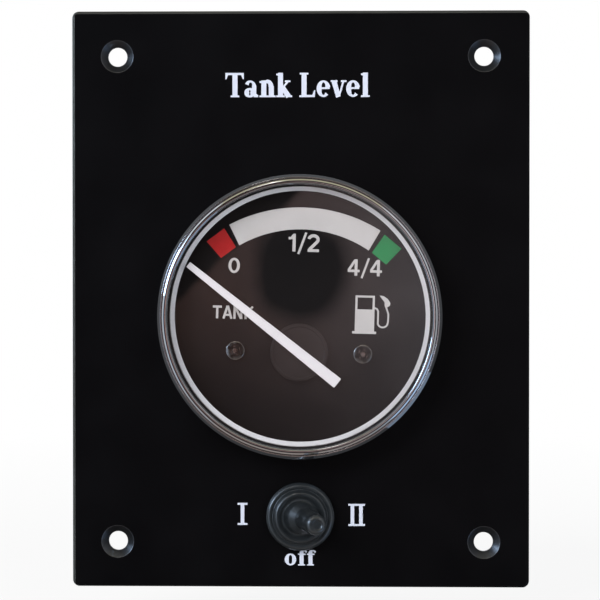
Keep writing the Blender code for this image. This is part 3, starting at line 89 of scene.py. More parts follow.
class Signal:
    """A number on a node's socket, on which Python's operators add Math nodes."""

    def __init__(self, graph: "Graph", socket: Socket) -> None:
        """Wraps one output socket."""
        self.graph = graph
        self.socket = socket

    def __add__(self, other: "Signal | float") -> "Signal":
        """Sum."""
        return self.graph.maths("ADD", self, other)

    __radd__ = __add__

    def __sub__(self, other: "Signal | float") -> "Signal":
        """Difference."""
        return self.graph.maths("SUBTRACT", self, other)

    def __rsub__(self, other: float) -> "Signal":
        """Difference from a plain number."""
        return self.graph.maths("SUBTRACT", other, self)

    def __mul__(self, other: "Signal | float") -> "Signal":
        """Product."""
        return self.graph.maths("MULTIPLY", self, other)

    __rmul__ = __mul__


class Graph:
    """The nodes of one shader or geometry tree."""

    def __init__(self, tree: bpy.types.NodeTree) -> None:
        """Starts from an empty tree."""
        self.tree = tree
        tree.nodes.clear()

    def node(self, kind: str, settings: dict | None = None, inputs: dict | None = None) -> bpy.types.Node:
        """Adds a node.

        Args:
            kind: Blender's name of the node's type.
            settings: the node's own properties, set first; "stops" fills a colour ramp.
            inputs: values, sockets or signals by the socket's name or number.

        Returns:
            The new node.
        """
        made = self.tree.nodes.new(kind)
        for name, value in (settings or {}).items():
            if name == "stops":
                self._fill_ramp(made.color_ramp, value)
            else:
                setattr(made, name, value)
        for name, value in (inputs or {}).items():
            if isinstance(value, Signal):
                value = value.socket
            if isinstance(value, Socket):
                self.tree.links.new(value, made.inputs[name])
            else:
                made.inputs[name].default_value = value
        return made

    @staticmethod
    def _fill_ramp(ramp: bpy.types.ColorRamp, stops: Sequence[tuple[float, Colour]]) -> None:
        """Gives a colour ramp its stops.

        Args:
            ramp: the ramp of a new Color Ramp node.
            stops: positions from 0 to 1 with their colours, at least two.
        """
        while len(ramp.elements) < len(stops):
            ramp.elements.new(1.0)
        for element, (position, colour) in zip(ramp.elements, stops):
            element.position = position
            element.color = (*colour, 1.0)

    def maths(self, operation: str, *values: "Signal | float") -> Signal:
        """Adds a Math node.

        Args:
            operation: the node's operation.
            values: its one, two or three numbers.

        Returns:
            The result.
        """
        made = self.node("ShaderNodeMath", {"operation": operation}, dict(enumerate(values)))
        return Signal(self, made.outputs[0])

    def place(self) -> Socket:
        """The point's place in metres, in the object's own coordinates."""
        return self.node("ShaderNodeTexCoord").outputs["Object"]

    def noise(self, size: float, detail: float = 3.0, stretch: Vector | None = None) -> Signal:
        """A noise with features of one size.

        Args:
            size: the width of a feature in metres.
            detail: the number of finer octaves.
            stretch: how much longer the features are along each axis.

        Returns:
            A number from 0 to 1.
        """
        scale = Vector((1, 1, 1)) if stretch is None else Vector((1 / s for s in stretch))
        mapped = self.node("ShaderNodeMapping", inputs={"Vector": self.place(), "Scale": scale})
        inputs = {"Vector": mapped.outputs[0], "Scale": 1 / size, "Detail": detail}
        return Signal(self, self.node("ShaderNodeTexNoise", inputs=inputs).outputs[0])

    def span(
        self, value: Signal, low: float, high: float, to_low: float = 0.0, to_high: float = 1.0
    ) -> Signal:
        """A number carried from one range to another, and kept inside it."""
        inputs = {0: value, 1: low, 2: high, 3: to_low, 4: to_high}
        return Signal(self, self.node("ShaderNodeMapRange", {"clamp": True}, inputs).outputs[0])

    def blend(self, factor: Signal, first: "Colour | Socket", second: Colour) -> Socket:
        """A colour between two, by a factor from 0 to 1."""
        settings = {"data_type": "RGBA"}
        start = first if isinstance(first, Socket) else (*first, 1.0)
        inputs = {0: factor, 6: start, 7: (*second, 1.0)}
        return self.node("ShaderNodeMix", settings, inputs).outputs[2]

    def spot(self) -> tuple[Signal, Signal, Signal]:
        """The point's place in metres, as its three numbers."""
        parts = self.node("ShaderNodeSeparateXYZ", inputs={0: self.place()})
        return tuple(Signal(self, output) for output in parts.outputs)


@dataclass(frozen=True)
class Finish:
    """A surface whose colour drifts, whose gloss is uneven and whose skin has a fine relief."""

    name: str
    slot: str | None
    colour: Colour
    drift: Colour
    roughness: Pair
    metallic: float = 0.0
    patch: float = 6 * MM
    grain: float = 0.4 * MM
    relief: float = 0.004 * MM
    stretch: tuple[float, float, float] = (1.0, 1.0, 1.0)
    specular: float = 0.5
    coat: float = 0.0

    def material(self) -> bpy.types.Material:
        """The finish's material, made when first asked for.

        Returns:
            The material, with its nodes.
        """
        made = bpy.data.materials.get(self.name)
        if made is None:
            made = bpy.data.materials.new(self.name)
            made.use_nodes = True
            made.diffuse_color = (*self.colour, 1.0)
            self.wire(Graph(made.node_tree))
        return made

    def shade(self, graph: Graph) -> Socket:
        """The Principled shader of this finish."""
        patches = graph.span(graph.noise(self.patch, 4.0), 0.3, 0.7)
        skin = graph.noise(self.grain, 3.0, Vector(self.stretch))
        low, high = self.roughness
        gloss = (patches * 0.5 + skin * 0.5) * (high - low) + low
        bump = graph.node("ShaderNodeBump", inputs={"Height": skin, "Distance": self.relief})
        inputs = {
            "Base Color": self.tint(graph, patches),
            "Roughness": gloss,
            "Metallic": self.metal(graph),
            "Specular IOR Level": self.specular,
            "Coat Weight": self.coat,
            "Coat Roughness": 0.08,
            "Normal": bump.outputs[0],
        }
        return graph.node("ShaderNodeBsdfPrincipled", inputs=inputs).outputs[0]

    def tint(self, graph: Graph, patches: Signal) -> Socket:
        """The surface's colour."""
        return graph.blend(patches, self.colour, self.drift)

    def metal(self, graph: Graph) -> Signal | float:
        """How far the surface is bare metal."""
        return self.metallic

    def wire(self, graph: Graph) -> None:
        """Fills the material's tree."""
        graph.node("ShaderNodeOutputMaterial", inputs={"Surface": self.shade(graph)})


@dataclass(frozen=True)
class EdgedCoat(Finish):
    """A coat on a plate whose screw seats are uncoated metal, and whose upper and left rim bevel carries a
    painted highlight of light metal.
    """

    # the light metal of the painted highlight on the upper and left rim bevel
    rim_highlight_colour: Colour = (0.36, 0.355, 0.32)
    seat_bare: Colour = (0.17, 0.175, 0.185)
    half_size: Pair = (0.0, 0.0)
    bevel: float = 0.55 * MM
    front: float = 0.0
    seat_spot: Pair = (0.0, 0.0)
    seat_radius: float = 3.4 * MM
    seat_depth: float = 1.6 * MM
    softness: float = 0.03 * MM

    def rim_highlight_and_seats(self, graph: Graph) -> tuple[Signal, Signal]:
        """Two masks: 1 on the upper and left rim's bevel, where a highlight is painted, and 1 in the screw
        seats, which are uncoated metal.
        """
        across, depth, up = graph.spot()
        side, rise = graph.maths("ABSOLUTE", across), graph.maths("ABSOLUTE", up)
        # only the left and upper bevel is masked: a painted highlight for the light that falls from the upper
        # left
        inset = graph.maths("MAXIMUM", -self.half_size[0] - across, up - self.half_size[1])
        rim = graph.span(inset, -self.bevel - self.softness, -self.bevel)
        edge, floor = self.front + self.bevel, self.front + self.seat_depth
        before = graph.span(depth, edge, edge + self.softness, 1.0, 0.0)
        reach_x, reach_z = side - self.seat_spot[0], rise - self.seat_spot[1]
        spread = graph.maths("SQRT", reach_x * reach_x + reach_z * reach_z)
        seats = graph.span(spread, self.seat_radius, self.seat_radius + self.softness, 1.0, 0.0)
        sunk = graph.span(depth, floor, floor + self.softness, 1.0, 0.0)
        return rim * before, seats * sunk

    def tint(self, graph: Graph, patches: Signal) -> Socket:
        """The coat's colour, with the screw seats' metal and the painted highlight of light metal on the
        upper and left rim.
        """
        rim, seats = self.rim_highlight_and_seats(graph)
        coat = graph.blend(patches, self.colour, self.drift)
        return graph.blend(rim, graph.blend(seats, coat, self.seat_bare), self.rim_highlight_colour)

    def metal(self, graph: Graph) -> Signal | float:
        """Metal in the screw seats, and on the upper and left rim where the highlight is painted."""
        return graph.maths("MAXIMUM", *self.rim_highlight_and_seats(graph))


@dataclass(frozen=True)
class PaneFinish(Finish):
    """Clear flat glass: it lets light through and mirrors by Fresnel's law."""

    index: float = 1.5

    def wire(self, graph: Graph) -> None:
        """A mix of a tinted Transparent and a Glossy shader."""
        clear = graph.node("ShaderNodeBsdfTransparent", inputs={"Color": (*self.colour, 1.0)})
        gloss = graph.node("ShaderNodeBsdfGlossy", inputs={"Roughness": self.roughness[0]})
        behind = Signal(graph, graph.node("ShaderNodeNewGeometry").outputs["Backfacing"])
        index = self.index - behind * (self.index - 1 / self.index)
        mirror = graph.node("ShaderNodeFresnel", inputs={"IOR": index})
        inputs = {0: mirror.outputs[0], 1: clear.outputs[0], 2: gloss.outputs[0]}
        mixed = graph.node("ShaderNodeMixShader", inputs=inputs)
        graph.node("ShaderNodeOutputMaterial", inputs={"Surface": mixed.outputs[0]})


POWDER_COAT = EdgedCoat(
    "black_powder_coat", "panel_coat", (0.0022, 0.0021, 0.0026), (0.0030, 0.0028, 0.0034), (0.26, 0.38),
    patch=14 * MM, grain=0.45 * MM, relief=0.012 * MM, specular=0.22,
)
CHROME = Finish(
    "bright_chrome", "chrome", (0.80, 0.81, 0.83), (0.74, 0.75, 0.78), (0.02, 0.07), 1.0,
    patch=4 * MM, grain=0.25 * MM, relief=0.0006 * MM,
)
GLASS = PaneFinish("gauge_window_glass", "clear_glass", (0.975, 0.972, 0.975), (1, 1, 1), (0.0, 0.0))
DIAL_BLACK = Finish(
    "matt_black_dial", "dial_black", (0.0060, 0.0052, 0.0054), (0.0085, 0.0070, 0.0070), (0.50, 0.56),
    patch=9 * MM, grain=0.12 * MM, relief=0.0008 * MM, specular=0.3,
)
DISC_BLACK = Finish(
    "moulded_black_disc", "dial_black", (0.017, 0.014, 0.014), (0.021, 0.017, 0.017), (0.35, 0.5),
    patch=3 * MM, grain=0.15 * MM, relief=0.003 * MM,
)
SCREW_BLACK = Finish(
    "black_oxide", "black_steel", (0.40, 0.38, 0.36), (0.50, 0.48, 0.45), (0.12, 0.22), 1.0,
    patch=1.2 * MM, grain=0.1 * MM, relief=0.001 * MM,
)
PANEL_WHITE = Finish(
    "white_panel_ink", "pointer_white", (0.64, 0.68, 0.80), (0.60, 0.64, 0.76), (0.4, 0.55),
    patch=2 * MM, grain=0.15 * MM, relief=0.003 * MM,
)
DIAL_WHITE = Finish(
    "white_dial_ink", "pointer_white", (0.62, 0.605, 0.60), (0.58, 0.565, 0.56), (0.45, 0.6),
    patch=5 * MM, grain=0.15 * MM, relief=0.002 * MM,
)
# the ring is white ink; its colour is lighter and bluer than the dial's other white ink, painted light that
# stands in for the light falling on the ring
RING_WHITE = Finish(
    "bright_white_ring_ink", "pointer_white", (0.93, 0.94, 0.98), (0.90, 0.91, 0.95), (0.45, 0.6),
    patch=5 * MM, grain=0.15 * MM, relief=0.002 * MM,
)
POINTER_WHITE = Finish(
    "white_pointer_paint", "pointer_white", (0.90, 0.88, 0.91), (0.86, 0.84, 0.87), (0.4, 0.5),
    patch=3 * MM, grain=0.2 * MM, relief=0.004 * MM,
)
DIAL_RED = Finish(
    "red_dial_ink", None, (0.46, 0.011, 0.011), (0.40, 0.009, 0.009), (0.45, 0.6),
    patch=1.5 * MM, grain=0.15 * MM, relief=0.002 * MM,
)
DIAL_GREEN = Finish(
    "green_dial_ink", None, (0.006, 0.27, 0.078), (0.005, 0.23, 0.064), (0.45, 0.6),
    patch=1.5 * MM, grain=0.15 * MM, relief=0.002 * MM,
)
RUBBER = Finish(
    "black_rubber_boot", "black_rubber", (0.009, 0.012, 0.015), (0.016, 0.020, 0.023), (0.32, 0.48),
    patch=1.6 * MM, grain=0.3 * MM, relief=0.008 * MM, specular=1.0, coat=1.0,
)
ZINC = Finish(
    "zinc_plated_steel", "zinc_steel", (0.56, 0.56, 0.54), (0.47, 0.46, 0.41), (0.26, 0.44), 1.0,
    patch=3.5 * MM, grain=0.25 * MM, relief=0.004 * MM,
)
BRASS = Finish(
    "turned_brass", "brass", (0.74, 0.53, 0.24), (0.60, 0.41, 0.17), (0.18, 0.36), 1.0,
    patch=2 * MM, grain=0.2 * MM, relief=0.004 * MM, stretch=(6, 1, 6),
)
NYLON = Finish(
    "natural_nylon", "bobbin_nylon", (0.70, 0.67, 0.58), (0.64, 0.61, 0.51), (0.38, 0.52),
    patch=3 * MM, grain=0.2 * MM, relief=0.004 * MM,
)
COPPER = Finish(
    "lacquered_copper_wire", "enamelled_copper", (0.55, 0.20, 0.08), (0.46, 0.15, 0.05), (0.22, 0.36), 0.7,
    patch=1 * MM, grain=0.1 * MM, relief=0.003 * MM, coat=0.6,
)
FERRITE = Finish(
    "sintered_ferrite", "ferrite", (0.08, 0.08, 0.09), (0.11, 0.11, 0.12), (0.45, 0.6), 0.3,
    patch=1 * MM, grain=0.08 * MM, relief=0.01 * MM,
)
PHENOLIC = Finish(
    "brown_phenolic", "phenolic", (0.13, 0.055, 0.030), (0.18, 0.080, 0.042), (0.3, 0.48),
    patch=2.5 * MM, grain=0.3 * MM, relief=0.006 * MM,
)
SILVER = Finish(
    "silver_plate", "silver_plate", (0.78, 0.77, 0.74), (0.68, 0.66, 0.62), (0.14, 0.3), 1.0,
    patch=2 * MM, grain=0.15 * MM, relief=0.003 * MM,
)
BULB_GLASS = Finish(
    "frosted_bulb_glass", "clear_glass", (0.85, 0.86, 0.84), (0.80, 0.81, 0.78), (0.15, 0.3),
    patch=2 * MM, grain=0.2 * MM, relief=0.002 * MM,
)
GASKET = Finish(
    "gasket_rubber", "black_rubber", (0.012, 0.012, 0.013), (0.018, 0.018, 0.019), (0.5, 0.65),
    patch=2 * MM, grain=0.2 * MM, relief=0.006 * MM,
)


def filleted(corners: Sequence[tuple[float, float, float]], steps: int = FILLET_STEPS) -> Outline:
    """Rounds the corners of a closed outline.

    Args:
        corners: (u, v, radius) of each corner.
        steps: the number of chords of each arc.

    Returns:
        The outline's points.
    """
    outline = []
    for i, (u, v, radius) in enumerate(corners):
        corner = Vector((u, v))
        if radius == 0:
            outline.append((u, v))
            continue
        back = (Vector(corners[i - 1][:2]) - corner).normalized()
        ahead = (Vector(corners[(i + 1) % len(corners)][:2]) - corner).normalized()
        half = back.angle(ahead) / 2
        centre = corner + (back + ahead).normalized() * radius / math.sin(half)
        start = corner + back * radius / math.tan(half) - centre
        sweep = (math.pi - 2 * half) * (1 if back.cross(ahead) < 0 else -1)
        spokes = [Matrix.Rotation(sweep * step / steps, 2) @ start for step in range(steps + 1)]
        outline += [tuple(centre + spoke) for spoke in spokes]
    return outline


def rectangle(width: float, height: float, radius: float = 0.0) -> list[tuple[float, float, float]]:
    """The corners of a centred rectangle, for filleted()."""
    u, v = width / 2, height / 2
    return [(-u, -v, radius), (u, -v, radius), (u, v, radius), (-u, v, radius)]


def boxed(left: float, right: float, foot: float, top: float) -> Outline:
    """An upright rectangle as a plain outline."""
    return [(left, foot), (right, foot), (right, top), (left, top)]


def arc(centre: Pair, radii: Pair, start: float, end: float, steps: int) -> Outline:
    """Points along an arc of an ellipse.

    Args:
        centre: its middle.
        radii: its half width and half height.
        start: the first point's angle in degrees.
        end: the last point's angle in degrees.
        steps: the number of chords.

    Returns:
        The points, both ends among them.
    """
    turns = [math.radians(start + (end - start) * i / steps) for i in range(steps + 1)]
    return [(centre[0] + radii[0] * math.cos(t), centre[1] + radii[1] * math.sin(t)) for t in turns]


def stroke(line: Outline, widths: float | Sequence[float]) -> Outline:
    """The outline of a pen stroke with square ends.

    Args:
        line: the points that the pen's middle follows.
        widths: its width, or one for each point.

    Returns:
        A closed outline.
    """
    points = [Vector(point) for point in line]
    if isinstance(widths, (int, float)):
        widths = [widths] * len(points)
    left, right = [], []
    for i, (point, width) in enumerate(zip(points, widths)):
        before = point - points[i - 1] if i else points[1] - point
        after = points[i + 1] - point if i + 1 < len(points) else before
        aim = (before.normalized() + after.normalized()).normalized()
        reach = width / 2 / max(aim.dot(after.normalized()), 0.6)
        side = Vector((-aim.y, aim.x)) * reach
        left.append(tuple(point + side))
        right.append(tuple(point - side))
    return left + right[::-1]


@dataclass(frozen=True)
class Station:
    """The axis along Y on which a group of pieces is built."""

    x: float = 0.0
    z: float = 0.0
    turn: float = 0.0

    def matrix(self) -> Matrix:
        """What carries a piece from the world's origin to this axis."""
        return Matrix.Translation((self.x, 0, self.z)) @ Matrix.Rotation(self.turn, 4, "Y")

    def offset(self, x: float, z: float, turn: float = 0.0) -> "Station":
        """An axis beside this one, in this one's own directions."""
        moved = self.matrix() @ Vector((x, 0, z))
        return Station(moved.x, moved.z, self.turn + turn)


def centre_of(node: str) -> Station:
    """The axis through the middle of a solid."""
    low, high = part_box(node)
    return Station((low.x + high.x) / 2, (low.z + high.z) / 2)


def radius_of(node: str) -> float:
    """Half a round solid's width."""
    low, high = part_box(node)
    return (high.x - low.x) / 2


def depths_of(node: str) -> Pair:
    """The front and rear of a solid along Y."""
    low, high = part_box(node)
    return low.y, high.y


def piece_from(name: str, shape: bmesh.types.BMesh, station: Station) -> Piece:
    """An object from a closed bmesh, carried to its station.

    Args:
        name: the piece's name.
        shape: its mesh round the world's origin, which is freed.
        station: the axis that it is carried to.

    Returns:
        The object, with its faces outwards.
    """
    bmesh.ops.remove_doubles(shape, verts=shape.verts, dist=WELD)
    bmesh.ops.recalc_face_normals(shape, faces=shape.faces)
    bmesh.ops.transform(shape, matrix=station.matrix(), verts=shape.verts)
    mesh = bpy.data.meshes.new(name)
    shape.to_mesh(mesh)
    shape.free()
    made = bpy.data.objects.new(name, mesh)
    bpy.context.scene.collection.objects.link(made)
    return made


def settled(piece: Piece) -> Piece:
    """Puts the evaluated shape in place of a piece's mesh and modifiers.

    Args:
        piece: a mesh object.

    Returns:
        The same object with a plain mesh.
    """
    graph = bpy.context.evaluated_depsgraph_get()
    graph.update()
    mesh = bpy.data.meshes.new_from_object(piece.evaluated_get(graph))
    piece.modifiers.clear()
    piece.data = mesh
    return piece


def smoothed(piece: Piece, angle: float = SHARP_ANGLE) -> Piece:
    """Shades a piece smooth between its sharp edges, with its large flats kept flat."""
    piece.data.shade_smooth()
    piece.data.set_sharp_from_angle(angle=angle)
    modifier = piece.modifiers.new("flat_faces_first", "WEIGHTED_NORMAL")
    modifier.keep_sharp = True
    modifier.weight = 60
    return settled(piece)


def carved(
    piece: Piece, tools: Sequence[Piece], operation: str = "DIFFERENCE"
) -> Piece:
    """Cuts, joins or crosses a piece with others, which are then removed.

    Args:
        piece: the piece that stays.
        tools: closed objects.
        operation: the Boolean's operation.

    Returns:
        The piece, with a plain mesh.
    """
    for tool in tools:
        modifier = piece.modifiers.new(tool.name, "BOOLEAN")
        modifier.operation = operation
        modifier.solver = "EXACT"
        modifier.object = tool
    settled(piece)
    for tool in tools:
        bpy.data.objects.remove(tool, do_unlink=True)
    return piece


def turned(name: str, profile: Outline, station: Station, steps: int = MEDIUM_ROUND) -> Piece:
    """A solid of revolution about an axis along Y.

    Args:
        name: the piece's name.
        profile: (radius, depth) pairs round its closed half section.
        station: its axis.
        steps: the number of faces round it.

    Returns:
        The object.
    """
    shape = bmesh.new()
    ring = [shape.verts.new((radius, depth, 0)) for radius, depth in profile]
    pairs = zip(ring, ring[1:] + ring[:1])
    edges = [shape.edges.new(pair) for pair in pairs if max(end.co.x for end in pair) > WELD]
    bmesh.ops.spin(
        shape, geom=ring + edges, cent=(0, 0, 0), axis=(0, 1, 0), angle=math.tau, steps=steps, use_merge=True
    )
    return piece_from(name, shape, station)


def prism(
    name: str, outlines: Sequence[Outline], start: float, end: float, station: Station, along: str = "Y"
) -> Piece:
    """Prisms between two depths along one axis.

    Args:
        name: the piece's name.
        outlines: closed outlines across the axis.
        start: the lower depth.
        end: the upper depth.
        station: where the piece stands.
        along: X, Y or Z.

    Returns:
        One object with a closed body for each outline.
    """
    spots = {"X": lambda u, v, d: (d, u, v), "Y": lambda u, v, d: (u, d, v), "Z": lambda u, v, d: (u, v, d)}
    shape = bmesh.new()
    for outline in outlines:
        near = [shape.verts.new(spots[along](u, v, start)) for u, v in outline]
        far = [shape.verts.new(spots[along](u, v, end)) for u, v in outline]
        shape.faces.new(near)
        shape.faces.new(far)
        for i in range(len(outline)):
            j = (i + 1) % len(outline)
            shape.faces.new((near[i], near[j], far[j], far[i]))
    return piece_from(name, shape, station)


def eased(piece: Piece, width: float, steps: int = 2, angle: float = 0.6) -> Piece:
    """Rounds every edge of a piece that is sharper than an angle."""
    modifier = piece.modifiers.new("eased_edges", "BEVEL")
    modifier.width = width
    modifier.segments = steps
    modifier.limit_method = "ANGLE"
    modifier.angle_limit = angle
    return settled(piece)


@dataclass
class SubAssembly:
    """A group of pieces that one class builds."""

    pieces: list[str] = field(default_factory=list)

    def keep(
        self,
        piece: Piece,
        finish: Finish,
        *nodes: str,
        body: str | None = "housing",
    ) -> Piece:
        """Dresses a piece, says what it replaces and lets it ride on its body.

        Args:
            piece: the finished mesh.
            finish: its surface.
            nodes: the solids that it stands for.
            body: the body that carries it, or None, which leaves it unattached.

        Returns:
            The piece.
        """
        piece.data.materials.clear()
        piece.data.materials.append(finish.material())
        if nodes:
            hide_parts(*nodes)
        if body:
            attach(piece, body)
        self.pieces.append(piece.name)
        log.info("%s: %d faces", piece.name, len(piece.data.polygons))
        return piece


class Repeat(Enum):
    """The repeated shapes that Geometry Nodes lay round an axis along Y or along a line."""

    THREAD = "helical_thread"
    TEETH = "ring_of_teeth"
    WINDING = "wound_wire"


@dataclass(frozen=True)
class Pattern:
    """A Geometry Nodes tree that adds a repeated shape to a piece."""

    kind: Repeat

    INPUTS = {
        Repeat.THREAD: dict.fromkeys(("Radius", "Ridge", "Pitch", "Turns", "Start"), "Float"),
        Repeat.TEETH: {
            "Radius": "Float", "Count": "Int", "Tooth": "Vector",
            "Twist": "Float", "Axis": "Vector", "Depth": "Float",
        },
        Repeat.WINDING: {"Wire": "Float", "Count": "Int", "Step": "Vector"},
    }

    def tree(self) -> bpy.types.NodeTree:
        """The pattern's tree, made when first asked for.

        Returns:
            A tree that ends in Realize Instances and Set Material.
        """
        made = bpy.data.node_groups.get(self.kind.value)
        if made:
            return made
        made = bpy.data.node_groups.new(self.kind.value, "GeometryNodeTree")
        face = made.interface
        face.new_socket(name="Geometry", in_out="INPUT", socket_type="NodeSocketGeometry")
        for name, kind in {**self.INPUTS[self.kind], "Material": "Material"}.items():
            face.new_socket(name=name, in_out="INPUT", socket_type=f"NodeSocket{kind}")
        face.new_socket(name="Geometry", in_out="OUTPUT", socket_type="NodeSocketGeometry")
        graph = Graph(made)
        given = graph.node("NodeGroupInput").outputs
        makers = {Repeat.THREAD: self.thread, Repeat.TEETH: self.teeth, Repeat.WINDING: self.winding}
        shape = makers[self.kind](graph, given)
        real = graph.node("GeometryNodeRealizeInstances", inputs={0: shape})
        inputs = {"Geometry": real.outputs[0], "Material": given["Material"]}
        dressed = graph.node("GeometryNodeSetMaterial", inputs=inputs)
        graph.node("NodeGroupOutput", inputs={0: dressed.outputs[0]})
        return made

    @staticmethod
    def joined(graph: Graph, first: Socket, second: Socket) -> Socket:
        """Both geometries in one."""
        join = graph.node("GeometryNodeJoinGeometry")
        for socket in (first, second):
            graph.tree.links.new(socket, join.inputs[0])
        return join.outputs[0]

    @staticmethod
    def upright(graph: Graph, shape: Socket, depth: Signal) -> Socket:
        """Turns a shape made round Z to lie round Y, at a depth."""
        shift = graph.node("ShaderNodeCombineXYZ", inputs={"Y": depth})
        inputs = {"Geometry": shape, "Translation": shift.outputs[0], "Rotation": (-math.pi / 2, 0, 0)}
        return graph.node("GeometryNodeTransform", inputs=inputs).outputs[0]

    def thread(self, graph: Graph, given: bpy.types.NodeOutputs) -> Socket:
        """A triangular ridge on a helix, joined to the core."""
        turns = Signal(graph, given["Turns"])
        length = turns * Signal(graph, given["Pitch"])
        inputs = {
            "Resolution": 24,
            "Rotations": turns,
            "Start Radius": given["Radius"],
            "End Radius": given["Radius"],
            "Height": length,
        }
        helix = graph.node("GeometryNodeCurveSpiral", inputs=inputs)
        inputs = {"Resolution": 4, "Radius": given["Ridge"]}
        section = graph.node("GeometryNodeCurvePrimitiveCircle", inputs=inputs)
        upright = graph.node("GeometryNodeSetCurveNormal", {"mode": "Z_UP"}, {"Curve": helix.outputs[0]})
        inputs = {"Curve": upright.outputs[0], "Profile Curve": section.outputs[0], "Fill Caps": True}
        ridge = graph.node("GeometryNodeCurveToMesh", inputs=inputs)
        lying = self.upright(graph, ridge.outputs[0], Signal(graph, given["Start"]))
        return self.joined(graph, given["Geometry"], lying)

    def teeth(self, graph: Graph, given: bpy.types.NodeOutputs) -> Socket:
        """Small blocks on a circle, each turned to face outwards, joined to the piece."""
        inputs = {"Vertices": given["Count"], "Radius": given["Radius"]}
        circle = graph.node("GeometryNodeMeshCircle", inputs=inputs)
        block = graph.node("GeometryNodeMeshCube", inputs={"Size": given["Tooth"]})
        spot = graph.node("GeometryNodeInputPosition")
        aimed = graph.node("FunctionNodeAlignRotationToVector", {"axis": "X"}, {"Vector": spot.outputs[0]})
        inputs = {"Rotation": aimed.outputs[0]}
        twist = graph.node("FunctionNodeRotateRotation", {"rotation_space": "LOCAL"}, inputs)
        inputs = {"Axis": given["Axis"], "Angle": given["Twist"]}
        around = graph.node("FunctionNodeAxisAngleToRotation", inputs=inputs)
        graph.tree.links.new(around.outputs[0], twist.inputs[1])
        inputs = {"Points": circle.outputs[0], "Instance": block.outputs[0], "Rotation": twist.outputs[0]}
        ring = graph.node("GeometryNodeInstanceOnPoints", inputs=inputs)
        lying = self.upright(graph, ring.outputs[0], Signal(graph, given["Depth"]))
        return self.joined(graph, given["Geometry"], lying)

    def winding(self, graph: Graph, given: bpy.types.NodeOutputs) -> Socket:
        """The piece's own loop swept into a wire and laid side by side."""
        loop = graph.node("GeometryNodeMeshToCurve", inputs={0: given["Geometry"]})
        inputs = {"Resolution": 6, "Radius": given["Wire"]}
        section = graph.node("GeometryNodeCurvePrimitiveCircle", inputs=inputs)
        inputs = {"Curve": loop.outputs[0], "Profile Curve": section.outputs[0]}
        wire = graph.node("GeometryNodeCurveToMesh", inputs=inputs)
        inputs = {"Count": given["Count"], "Offset": given["Step"]}
        line = graph.node("GeometryNodeMeshLine", inputs=inputs)
        inputs = {"Points": line.outputs[0], "Instance": wire.outputs[0]}
        return graph.node("GeometryNodeInstanceOnPoints", inputs=inputs).outputs[0]

    def add(self, piece: Piece, finish: Finish, values: dict[str, object]) -> Piece:
        """Runs the tree on a piece that stands at the world's origin.

        Args:
            piece: the piece, which gets the pattern in its mesh.
            finish: the surface that the tree sets.
            values: the tree's inputs by name.

        Returns:
            The piece with a plain mesh.
        """
        tree = self.tree()
        modifier = piece.modifiers.new(self.kind.value, "NODES")
        modifier.node_group = tree
        values = {**values, "Material": finish.material()}
        for socket in tree.interface.items_tree:
            if socket.in_out == "INPUT" and socket.name in values:
                modifier[socket.identifier] = values[socket.name]
        return settled(piece)


@dataclass
class Panel(SubAssembly):
    """The flat plate with its countersunk holes."""

    corner_radius: float = 1.4 * MM
    bevel: float = 0.55 * MM
    rear_round: float = 0.2 * MM
    fixing_spacing: Pair = (77 * MM, 102 * MM)
    hole_radius: float = 2.0 * MM
    sink_radius: float = 3.4 * MM
    sink_round: float = 0.25 * MM
    gauge_play: float = 0.35 * MM
    bushing_play: float = 0.2 * MM
    overcut: float = 1.0 * MM

    def build(self) -> None:
        """Makes the plate and drills it."""
        low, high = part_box("panel")
        front, rear = low.y, high.y
        outline = filleted(rectangle(high.x - low.x, high.z - low.z, self.corner_radius), 10)
        plate = prism("panel_plate", [outline], front, rear, Station())
        self.round_rim(plate, front, self.bevel, 1)
        self.round_rim(plate, rear, self.rear_round, 2)
        hole, sink, soft = self.hole_radius, self.sink_radius, self.sink_round
        screw_seat = filleted(
            [
                (0, front - self.overcut, 0),
                (sink + self.overcut, front - self.overcut, 0),
                (sink + self.overcut, front, 0),
                (sink, front, soft),
                (hole, front + sink - hole, soft),
                (hole, rear, 0),
                (hole, rear + self.overcut, 0),
                (0, rear + self.overcut, 0),
            ]
        )
        tools = []
        for side_x in (-1, 1):
            for side_z in (-1, 1):
                spot = Station(side_x * self.fixing_spacing[0] / 2, side_z * self.fixing_spacing[1] / 2)
                tools.append(turned(f"screw_seat_{side_x}_{side_z}", screw_seat, spot, MEDIUM_ROUND))
        start, end = front - self.overcut, rear + self.overcut
        radii = {
            "gauge_case": case_radius() + self.gauge_play,
            "switch_bushing": radius_of("switch_bushing") + self.bushing_play,
        }
        for node, radius in radii.items():
            bore = boxed(0, radius, start, end)
            tools.append(turned(f"{node}_hole", bore, centre_of(node), LARGE_ROUND))
        carved(plate, tools)
        # the coat paints a highlight of light metal on the upper and left rim bevel
        coat = replace(
            POWDER_COAT,
            half_size=(high.x, high.z),
            bevel=self.bevel,
            front=front,
            seat_spot=(self.fixing_spacing[0] / 2, self.fixing_spacing[1] / 2),
            seat_radius=self.sink_radius,
        )
        self.keep(smoothed(plate), coat, "panel")

    @staticmethod
    def round_rim(plate: Piece, depth: float, radius: float, steps: int) -> None:
        """Rounds the plate's rim at one face.

        Args:
            plate: the undrilled plate.
            depth: the face's place along Y.
            radius: the rounding's radius.
            steps: its number of chords.
        """
        shape = bmesh.new()
        shape.from_mesh(plate.data)
        rim = [edge for edge in shape.edges if all(abs(v.co.y - depth) < WELD for v in edge.verts)]
        bmesh.ops.bevel(shape, geom=rim, offset=radius, segments=steps, profile=0.5, affect="EDGES")
        shape.to_mesh(plate.data)
        shape.free()


def case_radius() -> float:
    """The gauge's cup, without the flange that the bezel grips."""
    return radius_of("bezel") - BEZEL_OVERHANG


